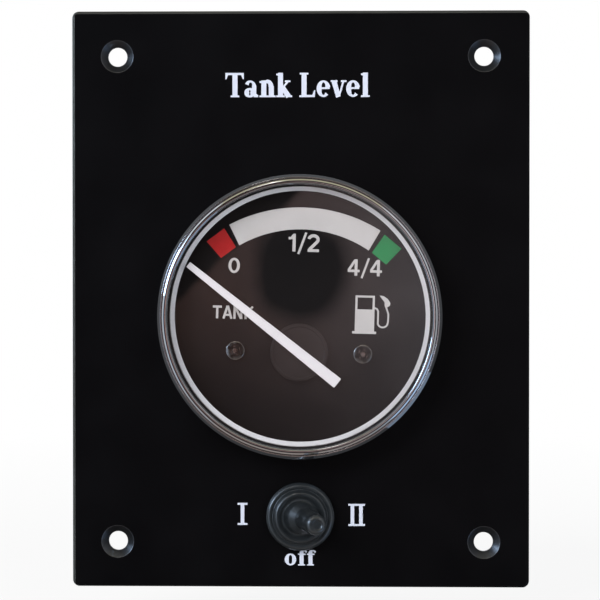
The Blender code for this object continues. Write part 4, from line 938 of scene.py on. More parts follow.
@dataclass(frozen=True)
class Gauge:
    """Where the gauge's stations and faces lie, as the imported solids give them."""

    centre: Station
    pivot: Station

    @classmethod
    def from_frame(cls) -> "Gauge":
        """Reads the gauge's axis, and its turn from where the pointer's joint lies."""
        axis = centre_of("bezel")
        joint = next(joint for joint in frame["joints"] if joint["name"] == "needle_swing")
        x, _, z = joint["pos_m"]
        turn = math.atan2(axis.x - x, axis.z - z)
        return cls(Station(axis.x, axis.z, turn), Station(x, z, turn))


@dataclass
class FrontRing(SubAssembly):
    """The rolled chrome bezel and the glass, gasket and spacer that it holds."""

    gauge: Gauge = field(default_factory=Gauge.from_frame)
    wall: float = 0.55 * MM
    face_width: float = 2.15 * MM
    lip_reach: float = 1.7 * MM
    roll_width: float = 0.78 * MM
    slope: float = 0.6 * MM
    groove_width: float = 0.25 * MM
    groove_depth: float = 0.3 * MM
    glass_chamfer: float = 0.2 * MM

    def build(self) -> None:
        """Makes the ring and what it holds."""
        self.build_bezel()
        front, rear = depths_of("glass")
        radius = radius_of("glass")
        pane = filleted(
            [
                (0, rear, 0),
                (radius, rear, self.glass_chamfer),
                (radius, front, self.glass_chamfer),
                (0, front, 0),
            ],
            1,
        )
        glass = turned("gauge_glass", pane, self.gauge.centre, LARGE_ROUND)
        self.keep(smoothed(glass, math.radians(20)), GLASS, "glass")
        for node, name, finish in (
            ("glass_gasket", "rubber_gasket", GASKET),
            ("spacer_ring", "black_spacer", SCREW_BLACK),
        ):
            front, rear = depths_of(node)
            outer, inner = radius_of(node), radius_of("spacer_ring") - SPACER_WALL
            soft = min(rear - front, outer - inner) / 4
            section = filleted(
                [(inner, rear, soft), (outer, rear, soft), (outer, front, soft), (inner, front, soft)], 3
            )
            ring = turned(name, section, self.gauge.centre, LARGE_ROUND)
            self.keep(smoothed(ring), finish, node)

    def build_bezel(self) -> None:
        """Makes the ring: an outer roll, a groove and an inner bead, on a wall that grips the case."""
        bead, rear = depths_of("bezel")
        seat = depths_of("glass")[0] - 0.15 * MM
        radius = radius_of("bezel")
        roll = seat - 0.45 * MM
        window = radius - self.face_width
        grip = radius - self.wall
        lip = grip - self.lip_reach
        groove_outer = radius - self.roll_width
        groove_inner = groove_outer - self.groove_width
        groove = roll + self.groove_depth
        crest = groove_inner - window
        profile = filleted(
            [
                (lip, rear, 0.1 * MM),
                (radius, rear, 0.4 * MM),
                (radius, roll + self.slope * 0.95, 0.2 * MM),
                (radius - self.slope, roll, 0.1 * MM),
                (groove_outer, roll, 0.05 * MM),
                ((groove_outer + groove_inner) / 2, groove, 0.04 * MM),
                (groove_inner, roll, 0.06 * MM),
                (groove_inner - crest * 0.3, bead, crest * 0.35),
                (groove_inner - crest * 0.72, bead, crest * 0.3),
                (window, (bead + seat) / 2, 0.08 * MM),
                (window, seat, 0.05 * MM),
                (grip, seat, 0),
                (grip, rear - self.wall, 0.1 * MM),
                (lip, rear - self.wall, 0.1 * MM),
            ]
        )
        ring = turned("chrome_bezel", profile, self.gauge.centre, 3 * LARGE_ROUND)
        self.keep(smoothed(ring), CHROME, "bezel")


class Face(Enum):
    """The styles of letter on the object."""

    SERIF = "bold letters with serifs"
    SANS = "plain figures"
    ROMAN = "Roman numerals"


class Pen:
    """Letters and figures as overlapping pen strokes, in units of the capitals' height."""

    STEM = 0.235
    HAIR = 0.085
    SLAB = 0.075
    SANS = 0.175
    X_HEIGHT = 0.69

    @classmethod
    def post(cls, x: float, top: float, width: float, head: str = "both", foot: bool = True) -> list[Outline]:
        """A serif letter's stem.

        Args:
            x: the stem's left side.
            top: its height.
            width: its width.
            head: both, left or none, the sides that its upper serif has.
            foot: whether it stands on a serif.

        Returns:
            Its outlines.
        """
        wing = 0.085
        left, right = x - wing, x + width + wing
        parts = [boxed(x, x + width, 0, top)]
        if foot:
            corners = [(left, 0, 0), (right, 0, 0), (right, cls.SLAB, 0.02), (left, cls.SLAB, 0.02)]
            parts.append(filleted(corners, 2))
        if head == "both":
            low = top - cls.SLAB
            corners = [(left, low, 0.02), (right, low, 0.02), (right, top, 0), (left, top, 0)]
            parts.append(filleted(corners, 2))
        if head == "left":
            middle = x + width / 2
            parts.append([(left, top - 0.10), (middle, top - 0.14), (x + width, top), (left, top - 0.035)])
        return parts

    @classmethod
    def bowl(cls, centre: Pair, radii: Pair, thick: float, thin: float,
             start: float = 0.0, end: float = 360.0) -> list[Outline]:
        """A round stroke that is thick at its sides and thin at its top and foot.

        Args:
            centre: the middle of the pen's path.
            radii: the half width and half height of the path.
            thick: the width at the sides.
            thin: the width at the top and foot.
            start: the first angle in degrees.
            end: the last angle in degrees.

        Returns:
            Two outlines that overlap.
        """
        middle = (start + end) / 2
        parts = []
        for first, last in ((start, middle + 3), (middle - 3, end)):
            line = arc(centre, radii, first, last, 20)
            turns = [math.radians(first + (last - first) * i / 20) for i in range(21)]
            parts.append(stroke(line, [thin + (thick - thin) * math.cos(t) ** 2 for t in turns]))
        return parts

    @classmethod
    def serif(cls, letter: str) -> tuple[float, list[Outline]]:
        """A bold serif letter: its advance and its outlines."""
        stem, hair, slab, x_height = cls.STEM, cls.HAIR, cls.SLAB, cls.X_HEIGHT
        if letter == "I":
            return 0.42, cls.post(0.10, 1.0, stem)
        if letter == "T":
            bar = [
                (0.0, 1.0), (0.0, 0.74), (0.05, 0.74), (0.12, 0.91),
                (0.74, 0.91), (0.81, 0.74), (0.86, 0.74), (0.86, 1.0),
            ]
            return 0.90, [*cls.post(0.33, 0.96, stem, "none"), bar]
        if letter == "L":
            foot = [(0.10, 0.0), (0.72, 0.0), (0.74, 0.28), (0.69, 0.28), (0.60, 0.09), (0.10, 0.09)]
            return 0.80, [*cls.post(0.10, 1.0, stem, foot=False), boxed(0, 0.4, 0, slab), foot]
        if letter == "l":
            return 0.42, cls.post(0.10, 1.0, stem, "left")
        if letter == "n":
            widths = [hair + (stem - hair) * i / 12 for i in range(13)]
            arch = stroke(arc((0.375, 0.44), (0.175, 0.205), 150, 0, 12), widths)
            right = cls.post(0.448, 0.45, stem, "none")
            return 0.78, [*cls.post(0.10, x_height, stem, "left"), arch, *right]
        if letter == "k":
            arm = stroke([(0.24, 0.30), (0.56, 0.64)], hair)
            wing = boxed(0.42, 0.68, 0.615, x_height)
            leg = stroke([(0.33, 0.38), (0.60, 0.02)], [stem * 0.9, stem])
            shoe = boxed(0.46, 0.76, 0.0, slab)
            return 0.80, [*cls.post(0.10, 1.0, stem, "left"), arm, wing, leg, shoe]
        if letter == "a":
            thick = stem * 0.8
            widths = [thick - (thick - hair) * math.sin(math.pi * i / 12) for i in range(13)]
            hook = stroke(arc((0.27, 0.47), (0.17, 0.175), 165, 0, 12), widths)
            belly = cls.bowl((0.24, 0.185), (0.135, 0.15), stem, hair)
            post = [(0.34, 0.10), (0.545, 0.06), (0.545, 0.48), (0.34, 0.48)]
            tail = [(0.36, 0.14), (0.44, 0.0), (0.64, 0.0), (0.64, slab), (0.545, 0.14)]
            return 0.68, [hook, *belly, post, tail]
        if letter == "e":
            ring = cls.bowl((0.325, 0.345), (0.205, 0.30), stem, hair, 8, 318)
            bar = boxed(0.20, 0.61, 0.33, 0.405)
            return 0.68, [*ring, bar]
        if letter == "v":
            left = stroke([(0.13, x_height - 0.02), (0.34, 0.0)], [stem, stem * 0.9])
            right = stroke([(0.38, 0.06), (0.58, x_height - 0.02)], hair)
            caps = [boxed(*ends, x_height - slab, x_height) for ends in ((-0.02, 0.30), (0.46, 0.72))]
            return 0.70, [left, right, *caps]
        if letter == "o":
            return 0.755, cls.bowl((0.34, 0.345), (0.215, 0.30), stem, hair)
        if letter == "f":
            widths = [stem - (stem - hair) * min(i / 6, 1) for i in range(13)]
            hook = stroke(arc((0.375, 0.75), (0.15, 0.10), 180, 40, 12), widths)
            drop = stroke(arc((0.485, 0.795), (0.03, 0.03), 0, 350, 10), 0.065)
            bar = boxed(0.02, 0.46, x_height - slab, x_height)
            return 0.51, [*cls.post(0.11, 0.765, stem, "none"), hook, drop, bar]
        return 0.30, []

    @classmethod
    def sans(cls, letter: str) -> tuple[float, list[Outline]]:
        """A plain figure or letter of even width: its advance and its outlines."""
        pen = cls.SANS
        half = pen / 2
        if letter == "0":
            return 0.86, cls.bowl((0.37, 0.5), (0.28, 0.42), pen * 1.08, pen * 0.86)
        if letter == "1":
            flag = stroke([(0.08, 0.74), (0.24, 0.76), (0.37, 0.93)], pen * 0.8)
            return 0.62, [[(0.30, 0), (0.30 + pen, 0), (0.30 + pen, 1), (0.34, 1), (0.30, 0.9)], flag]
        if letter == "/":
            return 0.50, [stroke([(0.02, -0.14), (0.44, 1.08)], pen * 0.72)]
        if letter == "2":
            top = stroke(arc((0.36, 0.70), (0.255, 0.215), 172, -38, 16), pen)
            back = stroke([(0.575, 0.585), (0.36, 0.36), (0.14, 0.14)], pen)
            return 0.80, [top, back, boxed(0.04, 0.68, 0, pen * 0.9),
                          [(0.04, 0), (0.22, 0), (0.30, 0.2), (0.09, 0.2)]]
        if letter == "4":
            slope = stroke([(0.47, 0.95), (0.08, 0.33)], pen * 0.84)
            bar = boxed(0.03, 0.75, 0.215, 0.215 + pen * 0.88)
            post = boxed(0.44, 0.44 + pen, 0, 1)
            return 0.86, [slope, bar, post]
        if letter == "T":
            return 0.76, [boxed(0, 0.70, 1 - pen, 1),
                          boxed(0.35 - half, 0.35 + half, 0, 0.95)]
        if letter == "A":
            return 0.82, [stroke([(half, 0), (0.385, 1)], pen), stroke([(0.79 - half, 0), (0.405, 1)], pen),
                          boxed(0.20, 0.60, 0.22, 0.22 + pen * 0.85)]
        if letter == "N":
            return 0.86, [boxed(0.03, 0.03 + pen, 0, 1),
                          boxed(0.73 - pen, 0.73, 0, 1),
                          [(0.03, 1), (0.03 + pen * 1.1, 1), (0.73, 0), (0.73 - pen * 1.1, 0)]]
        if letter == "K":
            return 0.80, [boxed(0.03, 0.03 + pen, 0, 1),
                          stroke([(0.08, 0.36), (0.66, 0.98)], pen * 0.95),
                          stroke([(0.30, 0.58), (0.68, 0.02)], pen)]
        return 0.30, []

    @classmethod
    def numeral(cls, text: str) -> tuple[float, list[Outline]]:
        """A Roman one or two, whose stems share their serifs: its advance and its outlines."""
        stem, slab, spacing = 0.165, 0.09, 0.382
        reach = 0.222 if text == "I" else 0.184
        middles = [reach + spacing * i for i in range(len(text))]
        wide = middles[-1] + reach
        stems = [boxed(m - stem / 2, m + stem / 2, 0, 1) for m in middles]
        bars = [boxed(0, wide, foot, foot + slab) for foot in (0, 1 - slab)]
        return wide, stems + bars

    @classmethod
    def written(
        cls, text: str, face: Face, height: float, centre: Pair, squeeze: float = 1.0
    ) -> list[Outline]:
        """A line of text, centred.

        Args:
            text: the letters.
            face: the style of letter.
            height: the capitals' height in metres.
            centre: the middle of the line, at its baseline.
            squeeze: how wide the letters are, against their plain width.

        Returns:
            Overlapping outlines in metres.
        """
        glyph = {Face.SERIF: cls.serif, Face.SANS: cls.sans, Face.ROMAN: cls.numeral}[face]
        drawn = [glyph(letter) for letter in ([text] if face is Face.ROMAN else text)]
        wide = height * squeeze
        pen = centre[0] - sum(advance for advance, _ in drawn) * wide / 2
        outlines = []
        for advance, parts in drawn:
            outlines += [[(pen + u * wide, centre[1] + v * height) for u, v in part] for part in parts]
            pen += advance * wide
        return outlines


def printed(name: str, outlines: Sequence[Outline], surface: float, station: Station) -> Piece:
    """A thin film of ink on a face that looks along -Y.

    Args:
        name: the print's name.
        outlines: overlapping closed outlines.
        surface: the face's place along Y.
        station: the axis that the outlines are drawn about.

    Returns:
        One closed film, its overlaps merged.
    """
    film = prism(name, outlines, surface - PRINT_RISE, surface + PRINT_SINK, station)
    anchor = prism(f"{name}_anchor", [[(9, 9), (9.001, 9), (9.001, 9.001)]], 0, MM, Station())
    modifier = film.modifiers.new("merged", "BOOLEAN")
    modifier.operation = "DIFFERENCE"
    modifier.solver = "EXACT"
    modifier.use_self = True
    modifier.object = anchor
    settled(film)
    bpy.data.objects.remove(anchor, do_unlink=True)
    return film


@dataclass
class PanelPrint(SubAssembly):
    """The title, the tank numbers and the off mark on the panel."""

    title_height: float = 5.1 * MM
    title_place: Pair = (-0.6 * MM, 42.4 * MM)
    title_squeeze: float = 0.88
    number_height: float = 4.66 * MM
    number_places: tuple[tuple[str, float, float], ...] = (
        ("I", -12.17 * MM, -47.45 * MM),
        ("II", 11.83 * MM, -47.6 * MM),
    )
    off_height: float = 3.65 * MM
    off_place: Pair = (-0.08 * MM, -55.95 * MM)

    def build(self) -> None:
        """Writes each line of text."""
        front = depths_of("panel")[0]
        title = Pen.written("Tank Level", Face.SERIF, self.title_height, self.title_place, self.title_squeeze)
        off = Pen.written("off", Face.SERIF, self.off_height, self.off_place)
        lines = {"title_text": title, "off_text": off}
        for text, *place in self.number_places:
            lines[f"tank_{len(text)}_number"] = Pen.written(text, Face.ROMAN, self.number_height, place)
        for name, outlines in lines.items():
            self.keep(printed(name, outlines, front, Station()), PANEL_WHITE)


@dataclass
class Dial(SubAssembly):
    """The dial plate with its print and its two screws."""

    gauge: Gauge = field(default_factory=Gauge.from_frame)
    pivot_drop: float = 7.5 * MM
    hole_radius: float = 1.1 * MM
    ring_width: float = 0.85 * MM
    arc_outer: tuple[float, float, float] = (-8.92 * MM, 31.65 * MM, 29.9)
    arc_inner: tuple[float, float, float] = (-7.40 * MM, 25.55 * MM, 31.9)
    arc_shift: float = 0.15 * MM
    arc_lean: float = 0.7
    block_turns: Pair = (33.8, 42.5)
    block_shift: Pair = (0.4 * MM, 0.2 * MM)
    block_radii: Pair = (25.5 * MM, 30.1 * MM)
    figures: tuple[tuple[str, float, float, float], ...] = (
        ("0", -13.85 * MM, 8.65 * MM, 3.2 * MM),
        ("1/2", 0.45 * MM, 13.5 * MM, 3.7 * MM),
        ("4/4", 13.38 * MM, 8.8 * MM, 3.43 * MM),
        ("TANK", -13.9 * MM, -0.9 * MM, 2.7 * MM),
    )

    def build(self) -> None:
        """Makes the plate, prints it and screws it down."""
        front, rear = depths_of("dial")
        radius = radius_of("dial")
        rim = filleted([(0, rear, 0), (radius, rear, 0.1 * MM), (radius, front, 0.1 * MM), (0, front, 0)], 2)
        plate = turned("dial_plate", rim, self.gauge.centre, LARGE_ROUND)
        hole = boxed(0, self.hole_radius, front - MM, rear + MM)
        carved(plate, [turned("spindle_hole", hole, self.gauge.pivot, SMALL_ROUND)])
        self.keep(smoothed(plate), DIAL_BLACK, "dial")
        self.print_scale(front)
        for name, turn in (("left", 28), ("right", 74)):
            self.build_screw(f"dial_screw_{name}", math.radians(turn))

    def print_scale(self, front: float) -> None:
        """Lays the white, red and green ink on the plate.

        Args:
            front: the plate's front face along Y.
        """
        centre = self.gauge.centre
        outer = radius_of("dial") - 0.15 * MM
        inner = radius_of("spacer_ring") - SPACER_WALL - self.ring_width
        ink_front, ink_rear = front - PRINT_RISE, front + PRINT_SINK
        section = boxed(inner, outer, ink_rear, ink_front)
        # the ring's ink is painted lighter to stand in for the light that falls on it
        self.keep(turned("white_dial_ring", section, centre, LARGE_ROUND), RING_WHITE)
        crescent = []
        shift, lean = self.arc_shift, self.arc_lean
        for (height, radius, half), sign in ((self.arc_outer, 1), (self.arc_inner, -1)):
            first, last = 90 - lean + sign * half, 90 - lean - sign * half
            crescent += arc((shift, height), (radius, radius), first, last, 48)
        self.keep(printed("scale_arc", [crescent], front, centre), DIAL_WHITE)
        low, high = self.block_radii
        first, last = self.block_turns
        for name, sign, finish in (("empty_block", -1, DIAL_RED), ("full_block", 1, DIAL_GREEN)):
            corners = boxed(first, last, low, high)
            turns = [(sign * math.radians(turn), radius) for turn, radius in corners]
            shift, rise = self.block_shift[0], -self.pivot_drop + self.block_shift[1] * (1 - sign)
            spots = [
                (radius * math.sin(turn) + shift, radius * math.cos(turn) + rise) for turn, radius in turns
            ]
            self.keep(printed(name, [spots], front, centre), finish)
        figures = []
        for text, x, foot, height in self.figures:
            figures += Pen.written(text, Face.SANS, height, (x, foot))
        self.keep(printed("dial_figures", figures, front, centre), DIAL_WHITE)
        self.keep(printed("fuel_pump_symbol", self.pump(), front, centre), DIAL_WHITE)

    @staticmethod
    def pump() -> list[Outline]:
        """The outlines of a filling pump with its hose."""
        boxes = [
            (10.7, -4.0, 15.7, -3.45),
            (11.2, -3.5, 15.25, 1.35),
            (11.2, 1.2, 11.65, 4.4),
            (14.8, 1.2, 15.25, 4.4),
            (11.2, 3.95, 15.25, 4.4),
        ]
        outlines = [boxed(u0, u1, v0, v1) for u0, v0, u1, v1 in boxes]
        rise = [(15.2, 1.75), (15.75, 1.5), (16.0, 1.0), (16.0, -1.3)]
        loop = arc((17.0, -1.45), (1.05, 1.05), 180, 360, 12)
        climb = [(18.1, -1.2), (18.15, 0.4), (17.75, 1.6), (17.5, 2.3)]
        outlines.append(stroke(rise + loop[1:-1] + climb, 0.36))
        outlines.append(
            [
                (16.2, 4.5), (17.0, 4.4), (17.9, 3.8), (18.5, 2.9),
                (18.4, 2.3), (17.7, 1.85), (17.3, 2.2), (17.3, 3.0),
            ]
        )
        return [[((u + 0.25) * MM, (v * 0.95 + 0.55) * MM) for u, v in outline] for outline in outlines]

    def build_screw(self, node: str, turn: float) -> None:
        """Makes one pan head screw with its cross recess.

        Args:
            node: the solid that it stands for.
            turn: how far its recess is turned.
        """
        front, rear = depths_of(node)
        head = radius_of(node)
        seat = depths_of("dial")[0] - 0.15 * MM
        shank = head / 2
        profile = filleted(
            [
                (0, rear, 0),
                (shank, rear, 0.3 * MM),
                (shank, seat, 0),
                (head, seat, 0.12 * MM),
                (head, front + 0.25 * MM, 0.22 * MM),
                (head * 0.55, front, 0.6 * MM),
                (0, front, 0),
            ],
            4,
        )
        spot = centre_of(node)
        screw = turned(f"{node}_piece", profile, spot, MEDIUM_ROUND)
        half, reach, depth = 0.3 * MM, 1.25 * MM, 0.55 * MM
        cross = Station(spot.x, spot.z, turn)
        bar = boxed(-reach, reach, -half, half)
        post = [(v, u) for u, v in bar]
        tools = [
            prism(f"{node}_{name}", [shape], front - MM, front + depth, cross)
            for name, shape in (("bar", bar), ("post", post))
        ]
        carved(screw, tools)
        self.keep(smoothed(eased(screw, 0.1 * MM)), SCREW_BLACK, node)


@dataclass
class Pointer(SubAssembly):
    """The white blade, the dark disc under it, and the spindle with its magnet."""

    gauge: Gauge = field(default_factory=Gauge.from_frame)
    rest: float = math.radians(-53.1)
    length: float = 29.45 * MM
    tail: float = 10.3 * MM
    tip_width: float = 1.3 * MM
    tail_width: float = 2.4 * MM

    def build(self) -> None:
        """Makes the blade and the disc of the needle body, and dresses the spindle and the magnet."""
        pivot = self.gauge.pivot.offset(0, 0, self.rest)
        front, rear = depths_of("pointer")
        tip, tail = self.tip_width / 2, self.tail_width / 2
        corners = [
            (-tail, -self.tail, 0.25 * MM),
            (tail, -self.tail, 0.25 * MM),
            (tip, self.length, 0.12 * MM),
            (-tip, self.length, 0.12 * MM),
        ]
        blade = prism("pointer_blade", [filleted(corners, 4)], front, rear, pivot)
        self.keep(smoothed(eased(blade, 0.1 * MM)), POINTER_WHITE, "pointer", body="needle")
        front, rear = depths_of("pointer_disc")
        radius = radius_of("pointer_disc")
        profile = filleted(
            [
                (0, rear, 0),
                (radius, rear, 0.1 * MM),
                (radius, front, 0.2 * MM),
                (radius - 0.6 * MM, front, 0.1 * MM),
                (radius - 0.75 * MM, front + 0.14 * MM, 0.05 * MM),
                (0, front + 0.14 * MM, 0),
            ],
            4,
        )
        disc = turned("pointer_hub_disc", profile, pivot, LARGE_ROUND)
        self.keep(smoothed(disc), DISC_BLACK, "pointer_disc", body="needle")
        for node, finish in (("spindle", ZINC), ("magnet", FERRITE)):
            dress(node, finish)


def dress(node: str, finish: Finish) -> None:
    """Gives a solid that carries over as it stands its surface."""
    solid = frame["nodes"][node]
    solid.data.materials.clear()
    solid.data.materials.append(finish.material())


@dataclass
class Boot(SubAssembly):
    """The rubber boot, whose sleeve leans to one side."""

    lean: float = math.radians(13)
    pivot_depth: float = -1.5 * MM
    bend_start: float = -4.6 * MM
    bend_reach: float = 3.69 * MM

    def build(self) -> None:
        """Turns the boot upright and leans its sleeve."""
        base = centre_of("switch_bushing")
        panel_front = depths_of("panel")[0]
        outline = filleted(
            [
                (7.15, 0.15, 0.15),
                (7.15, 1.7, 0.6),
                (6.25, 2.65, 0.6),
                (5.8, 2.1, 0.15),
                (5.55, 2.7, 0.25),
                (5.1, 3.75, 0.5),
                (4.55, 3.4, 0.35),
                (3.95, 2.8, 0.15),
                (3.45, 2.9, 0.25),
                (3.2, 5.0, 0.5),
                (2.5, 6.2, 0.6),
                (2.25, 13.2, 2.0),
                (2.1, 16.15, 1.1),
                (1.1, 16.45, 0.2),
                (0.85, 16.15, 0.15),
                (0.0, 16.15, 0),
                (0.0, 14.85, 0),
                (1.45, 14.85, 0),
                (1.6, 14.3, 0),
                (1.6, 8.7, 0),
                (1.4, 7.6, 0),
                (2.3, 4.6, 0),
                (2.45, 2.6, 0),
                (4.75, 2.6, 0),
                (4.75, 0.15, 0),
            ]
        )
        profile = [(radius * MM, panel_front - height * MM) for radius, height in outline]
        boot = turned("rubber_boot", profile, base, LARGE_ROUND)
        pivot = Vector((base.x, self.pivot_depth, base.z))
        for vertex in boot.data.vertices:
            share = min(max((self.bend_start - vertex.co.y) / self.bend_reach, 0), 1)
            turn = Matrix.Rotation(self.lean * share * share * (3 - 2 * share), 3, "Z")
            vertex.co = pivot + turn @ (vertex.co - pivot)
        self.keep(smoothed(boot, math.radians(50)), RUBBER, "switch_boot", body=None)
        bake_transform(boot)


@dataclass
class Case(SubAssembly):
    """The drawn steel cup, with the studs and the lamp that stand in its rear wall."""

    gauge: Gauge = field(default_factory=Gauge.from_frame)
    wall: float = 0.8 * MM
    rear_round: float = 1.6 * MM
    seat_gap: float = 0.15 * MM
    play: float = 0.2 * MM
    shoulder: float = 0.9 * MM
    stud_radius: float = 2.0 * MM
    thread_pitch: float = 0.7 * MM

    def build(self) -> None:
        """Makes the cup and what stands in its rear wall."""
        self.build_cup()
        for name in TERMINALS:
            self.build_terminal(name)
        self.build_lamp()

    def build_cup(self) -> None:
        """Makes the cup with its flange and rim, and pierces its rear wall."""
        front, rear = depths_of("gauge_case")
        rim, cup = radius_of("gauge_case"), case_radius()
        flange_front = depths_of("dial")[1] + self.seat_gap
        flange_rear = flange_front + self.wall
        inner_round = self.rear_round - self.wall
        profile = filleted(
            [
                (0, rear, 0),
                (cup, rear, self.rear_round),
                (cup, flange_rear, 0.3 * MM),
                (rim, flange_rear, self.wall / 2),
                (rim, front, 0.1 * MM),
                (rim - self.wall, front, 0.1 * MM),
                (rim - self.wall, flange_front, 0),
                (cup - self.wall, flange_front, 0.3 * MM),
                (cup - self.wall, rear - self.wall, inner_round),
                (0, rear - self.wall, 0),
            ],
            8,
        )
        cup_piece = turned("steel_cup", profile, self.gauge.centre, LARGE_ROUND)
        radii = {f"terminal_stud_{name}": self.stud_radius + self.play + self.shoulder + self.play
                 for name in TERMINALS}
        radii["lamp_holder"] = radius_of("lamp_holder") - 1.3 * MM + self.play
        tools = []
        for node, radius in radii.items():
            bore = boxed(0, radius, rear - 3 * MM, rear + MM)
            tools.append(turned(f"{node}_bore", bore, centre_of(node), SMALL_ROUND))
        carved(cup_piece, tools)
        self.keep(smoothed(cup_piece), ZINC, "gauge_case")

    def build_terminal(self, name: str) -> None:
        """Makes one threaded stud with its insulator and its nut.

        Args:
            name: which of the three terminals it is.
        """
        node = f"terminal_stud_{name}"
        spot = centre_of(node)
        stud = threaded_stud(f"{name}_stud", node, self.stud_radius, self.thread_pitch, BRASS)
        self.keep(stud, BRASS, node)
        node = f"terminal_insulator_{name}"
        front, rear = depths_of(node)
        wide = radius_of(node)
        bore = self.stud_radius + self.play
        seat = depths_of("gauge_case")[1] + self.seat_gap
        collar = filleted(
            [
                (bore, front, 0),
                (bore + self.shoulder, front, 0.1 * MM),
                (bore + self.shoulder, seat, 0),
                (wide, seat, 0.15 * MM),
                (wide, rear, 0.5 * MM),
                (bore, rear, 0.15 * MM),
            ],
            4,
        )
        insulator = turned(f"{name}_insulator", collar, spot, MEDIUM_ROUND)
        self.keep(smoothed(insulator), PHENOLIC, node)
        node = f"terminal_nut_{name}"
        self.keep(hexagon_nut(f"{name}_nut", node, bore, spot), BRASS, node)

    def build_lamp(self) -> None:
        """Makes the lamp holder with its finger grips; the bulb carries over."""
        node = "lamp_holder"
        front, rear = depths_of(node)
        flange = radius_of(node)
        body, tail, socket = flange - 1.3 * MM, flange - 2.8 * MM, 2.7 * MM
        seat = depths_of("gauge_case")[1] + self.seat_gap
        board_front, board_rear = depths_of("terminal_board")
        flange_rear = seat + 1.4 * MM
        holder = filleted(
            [
                (0, rear, 0),
                (tail - 0.3 * MM, rear, 0.6 * MM),
                (tail, flange_rear, 0.3 * MM),
                (flange, flange_rear, 0.4 * MM),
                (flange, seat, 0.15 * MM),
                (body, seat, 0),
                (body, board_front, 0.2 * MM),
                (tail, board_front - (body - tail), 0.2 * MM),
                (tail, front, 0.15 * MM),
                (socket, front, 0.15 * MM),
                (socket, board_rear, 0),
                (0, board_rear, 0),
            ],
            4,
        )
        spot = centre_of(node)
        piece = turned("lamp_socket", holder, Station(), LARGE_ROUND)
        grip = rear - flange_rear - 1.2 * MM
        values = {
            "Radius": tail - 0.35 * MM,
            "Count": 18,
            "Tooth": (0.7 * MM, 0.7 * MM, grip),
            "Twist": math.pi / 4,
            "Axis": (0, 0, 1),
            "Depth": (rear + flange_rear) / 2 - 0.2 * MM,
        }
        Pattern(Repeat.TEETH).add(piece, PHENOLIC, values)
        piece.data.transform(spot.matrix())
        self.keep(smoothed(piece), PHENOLIC, node)
        dress("lamp_bulb", BULB_GLASS)


def threaded_stud(name: str, node: str, radius: float, pitch: float, finish: Finish) -> Piece:
    """A stud with a head at its front and a helical thread.

    Args:
        name: the piece's name.
        node: the solid that gives its place and its ends.
        radius: the thread's outer radius.
        pitch: the thread's pitch.
        finish: its surface.

    Returns:
        The stud.
    """
    front, rear = depths_of(node)
    head = radius_of(node)
    ridge = pitch * 0.48
    core = radius - 0.85 * ridge
    head_rear = front + (2.0 * MM if node.startswith("terminal") else 0.8 * MM)
    blank = filleted(
        [
            (0, front, 0),
            (head, front, 0.25 * MM),
            (head, head_rear, 0.15 * MM),
            (core, head_rear, 0.1 * MM),
            (core, rear, 0.4 * MM),
            (0, rear, 0),
        ],
        3,
    )
    stud = turned(name, blank, Station(), SMALL_ROUND)
    length = rear - head_rear - 1.6 * pitch
    values = {
        "Radius": radius - ridge,
        "Ridge": ridge,
        "Pitch": pitch,
        "Turns": length / pitch,
        "Start": head_rear + pitch * 0.6,
    }
    Pattern(Repeat.THREAD).add(stud, finish, values)
    stud.data.transform(centre_of(node).matrix())
    return smoothed(stud)


def hexagon_nut(name: str, node: str, bore: float, station: Station) -> Piece:
    """A hexagon nut with its corners chamfered at both faces.

    Args:
        name: the piece's name.
        node: the solid that gives its size and its faces.
        bore: the hole's radius.
        station: its axis.

    Returns:
        The nut.
    """
    start, end = depths_of(node)
    low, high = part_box(node)
    corner = max(high.x - low.x, high.z - low.z) / 2
    flat = corner * math.cos(math.pi / 6)
    drop = (corner - flat) * 0.58
    blank = filleted(
        [
            (bore, start + 0.2 * MM, 0),
            (bore + 0.2 * MM, start, 0),
            (flat * 0.97, start, 0),
            (corner + MM, start + drop + 0.58 * MM, 0),
            (corner + MM, end - drop - 0.58 * MM, 0),
            (flat * 0.97, end, 0),
            (bore + 0.2 * MM, end, 0),
            (bore, end - 0.2 * MM, 0),
        ]
    )
    nut = turned(name, blank, station, MEDIUM_ROUND)
    turns = [math.pi * i / 3 for i in range(6)]
    sides = [(corner * math.cos(turn), corner * math.sin(turn)) for turn in turns]
    carved(nut, [prism(f"{name}_sides", [sides], start - MM, end + MM, station)], "INTERSECT")
    return smoothed(eased(nut, 0.06 * MM, 1))


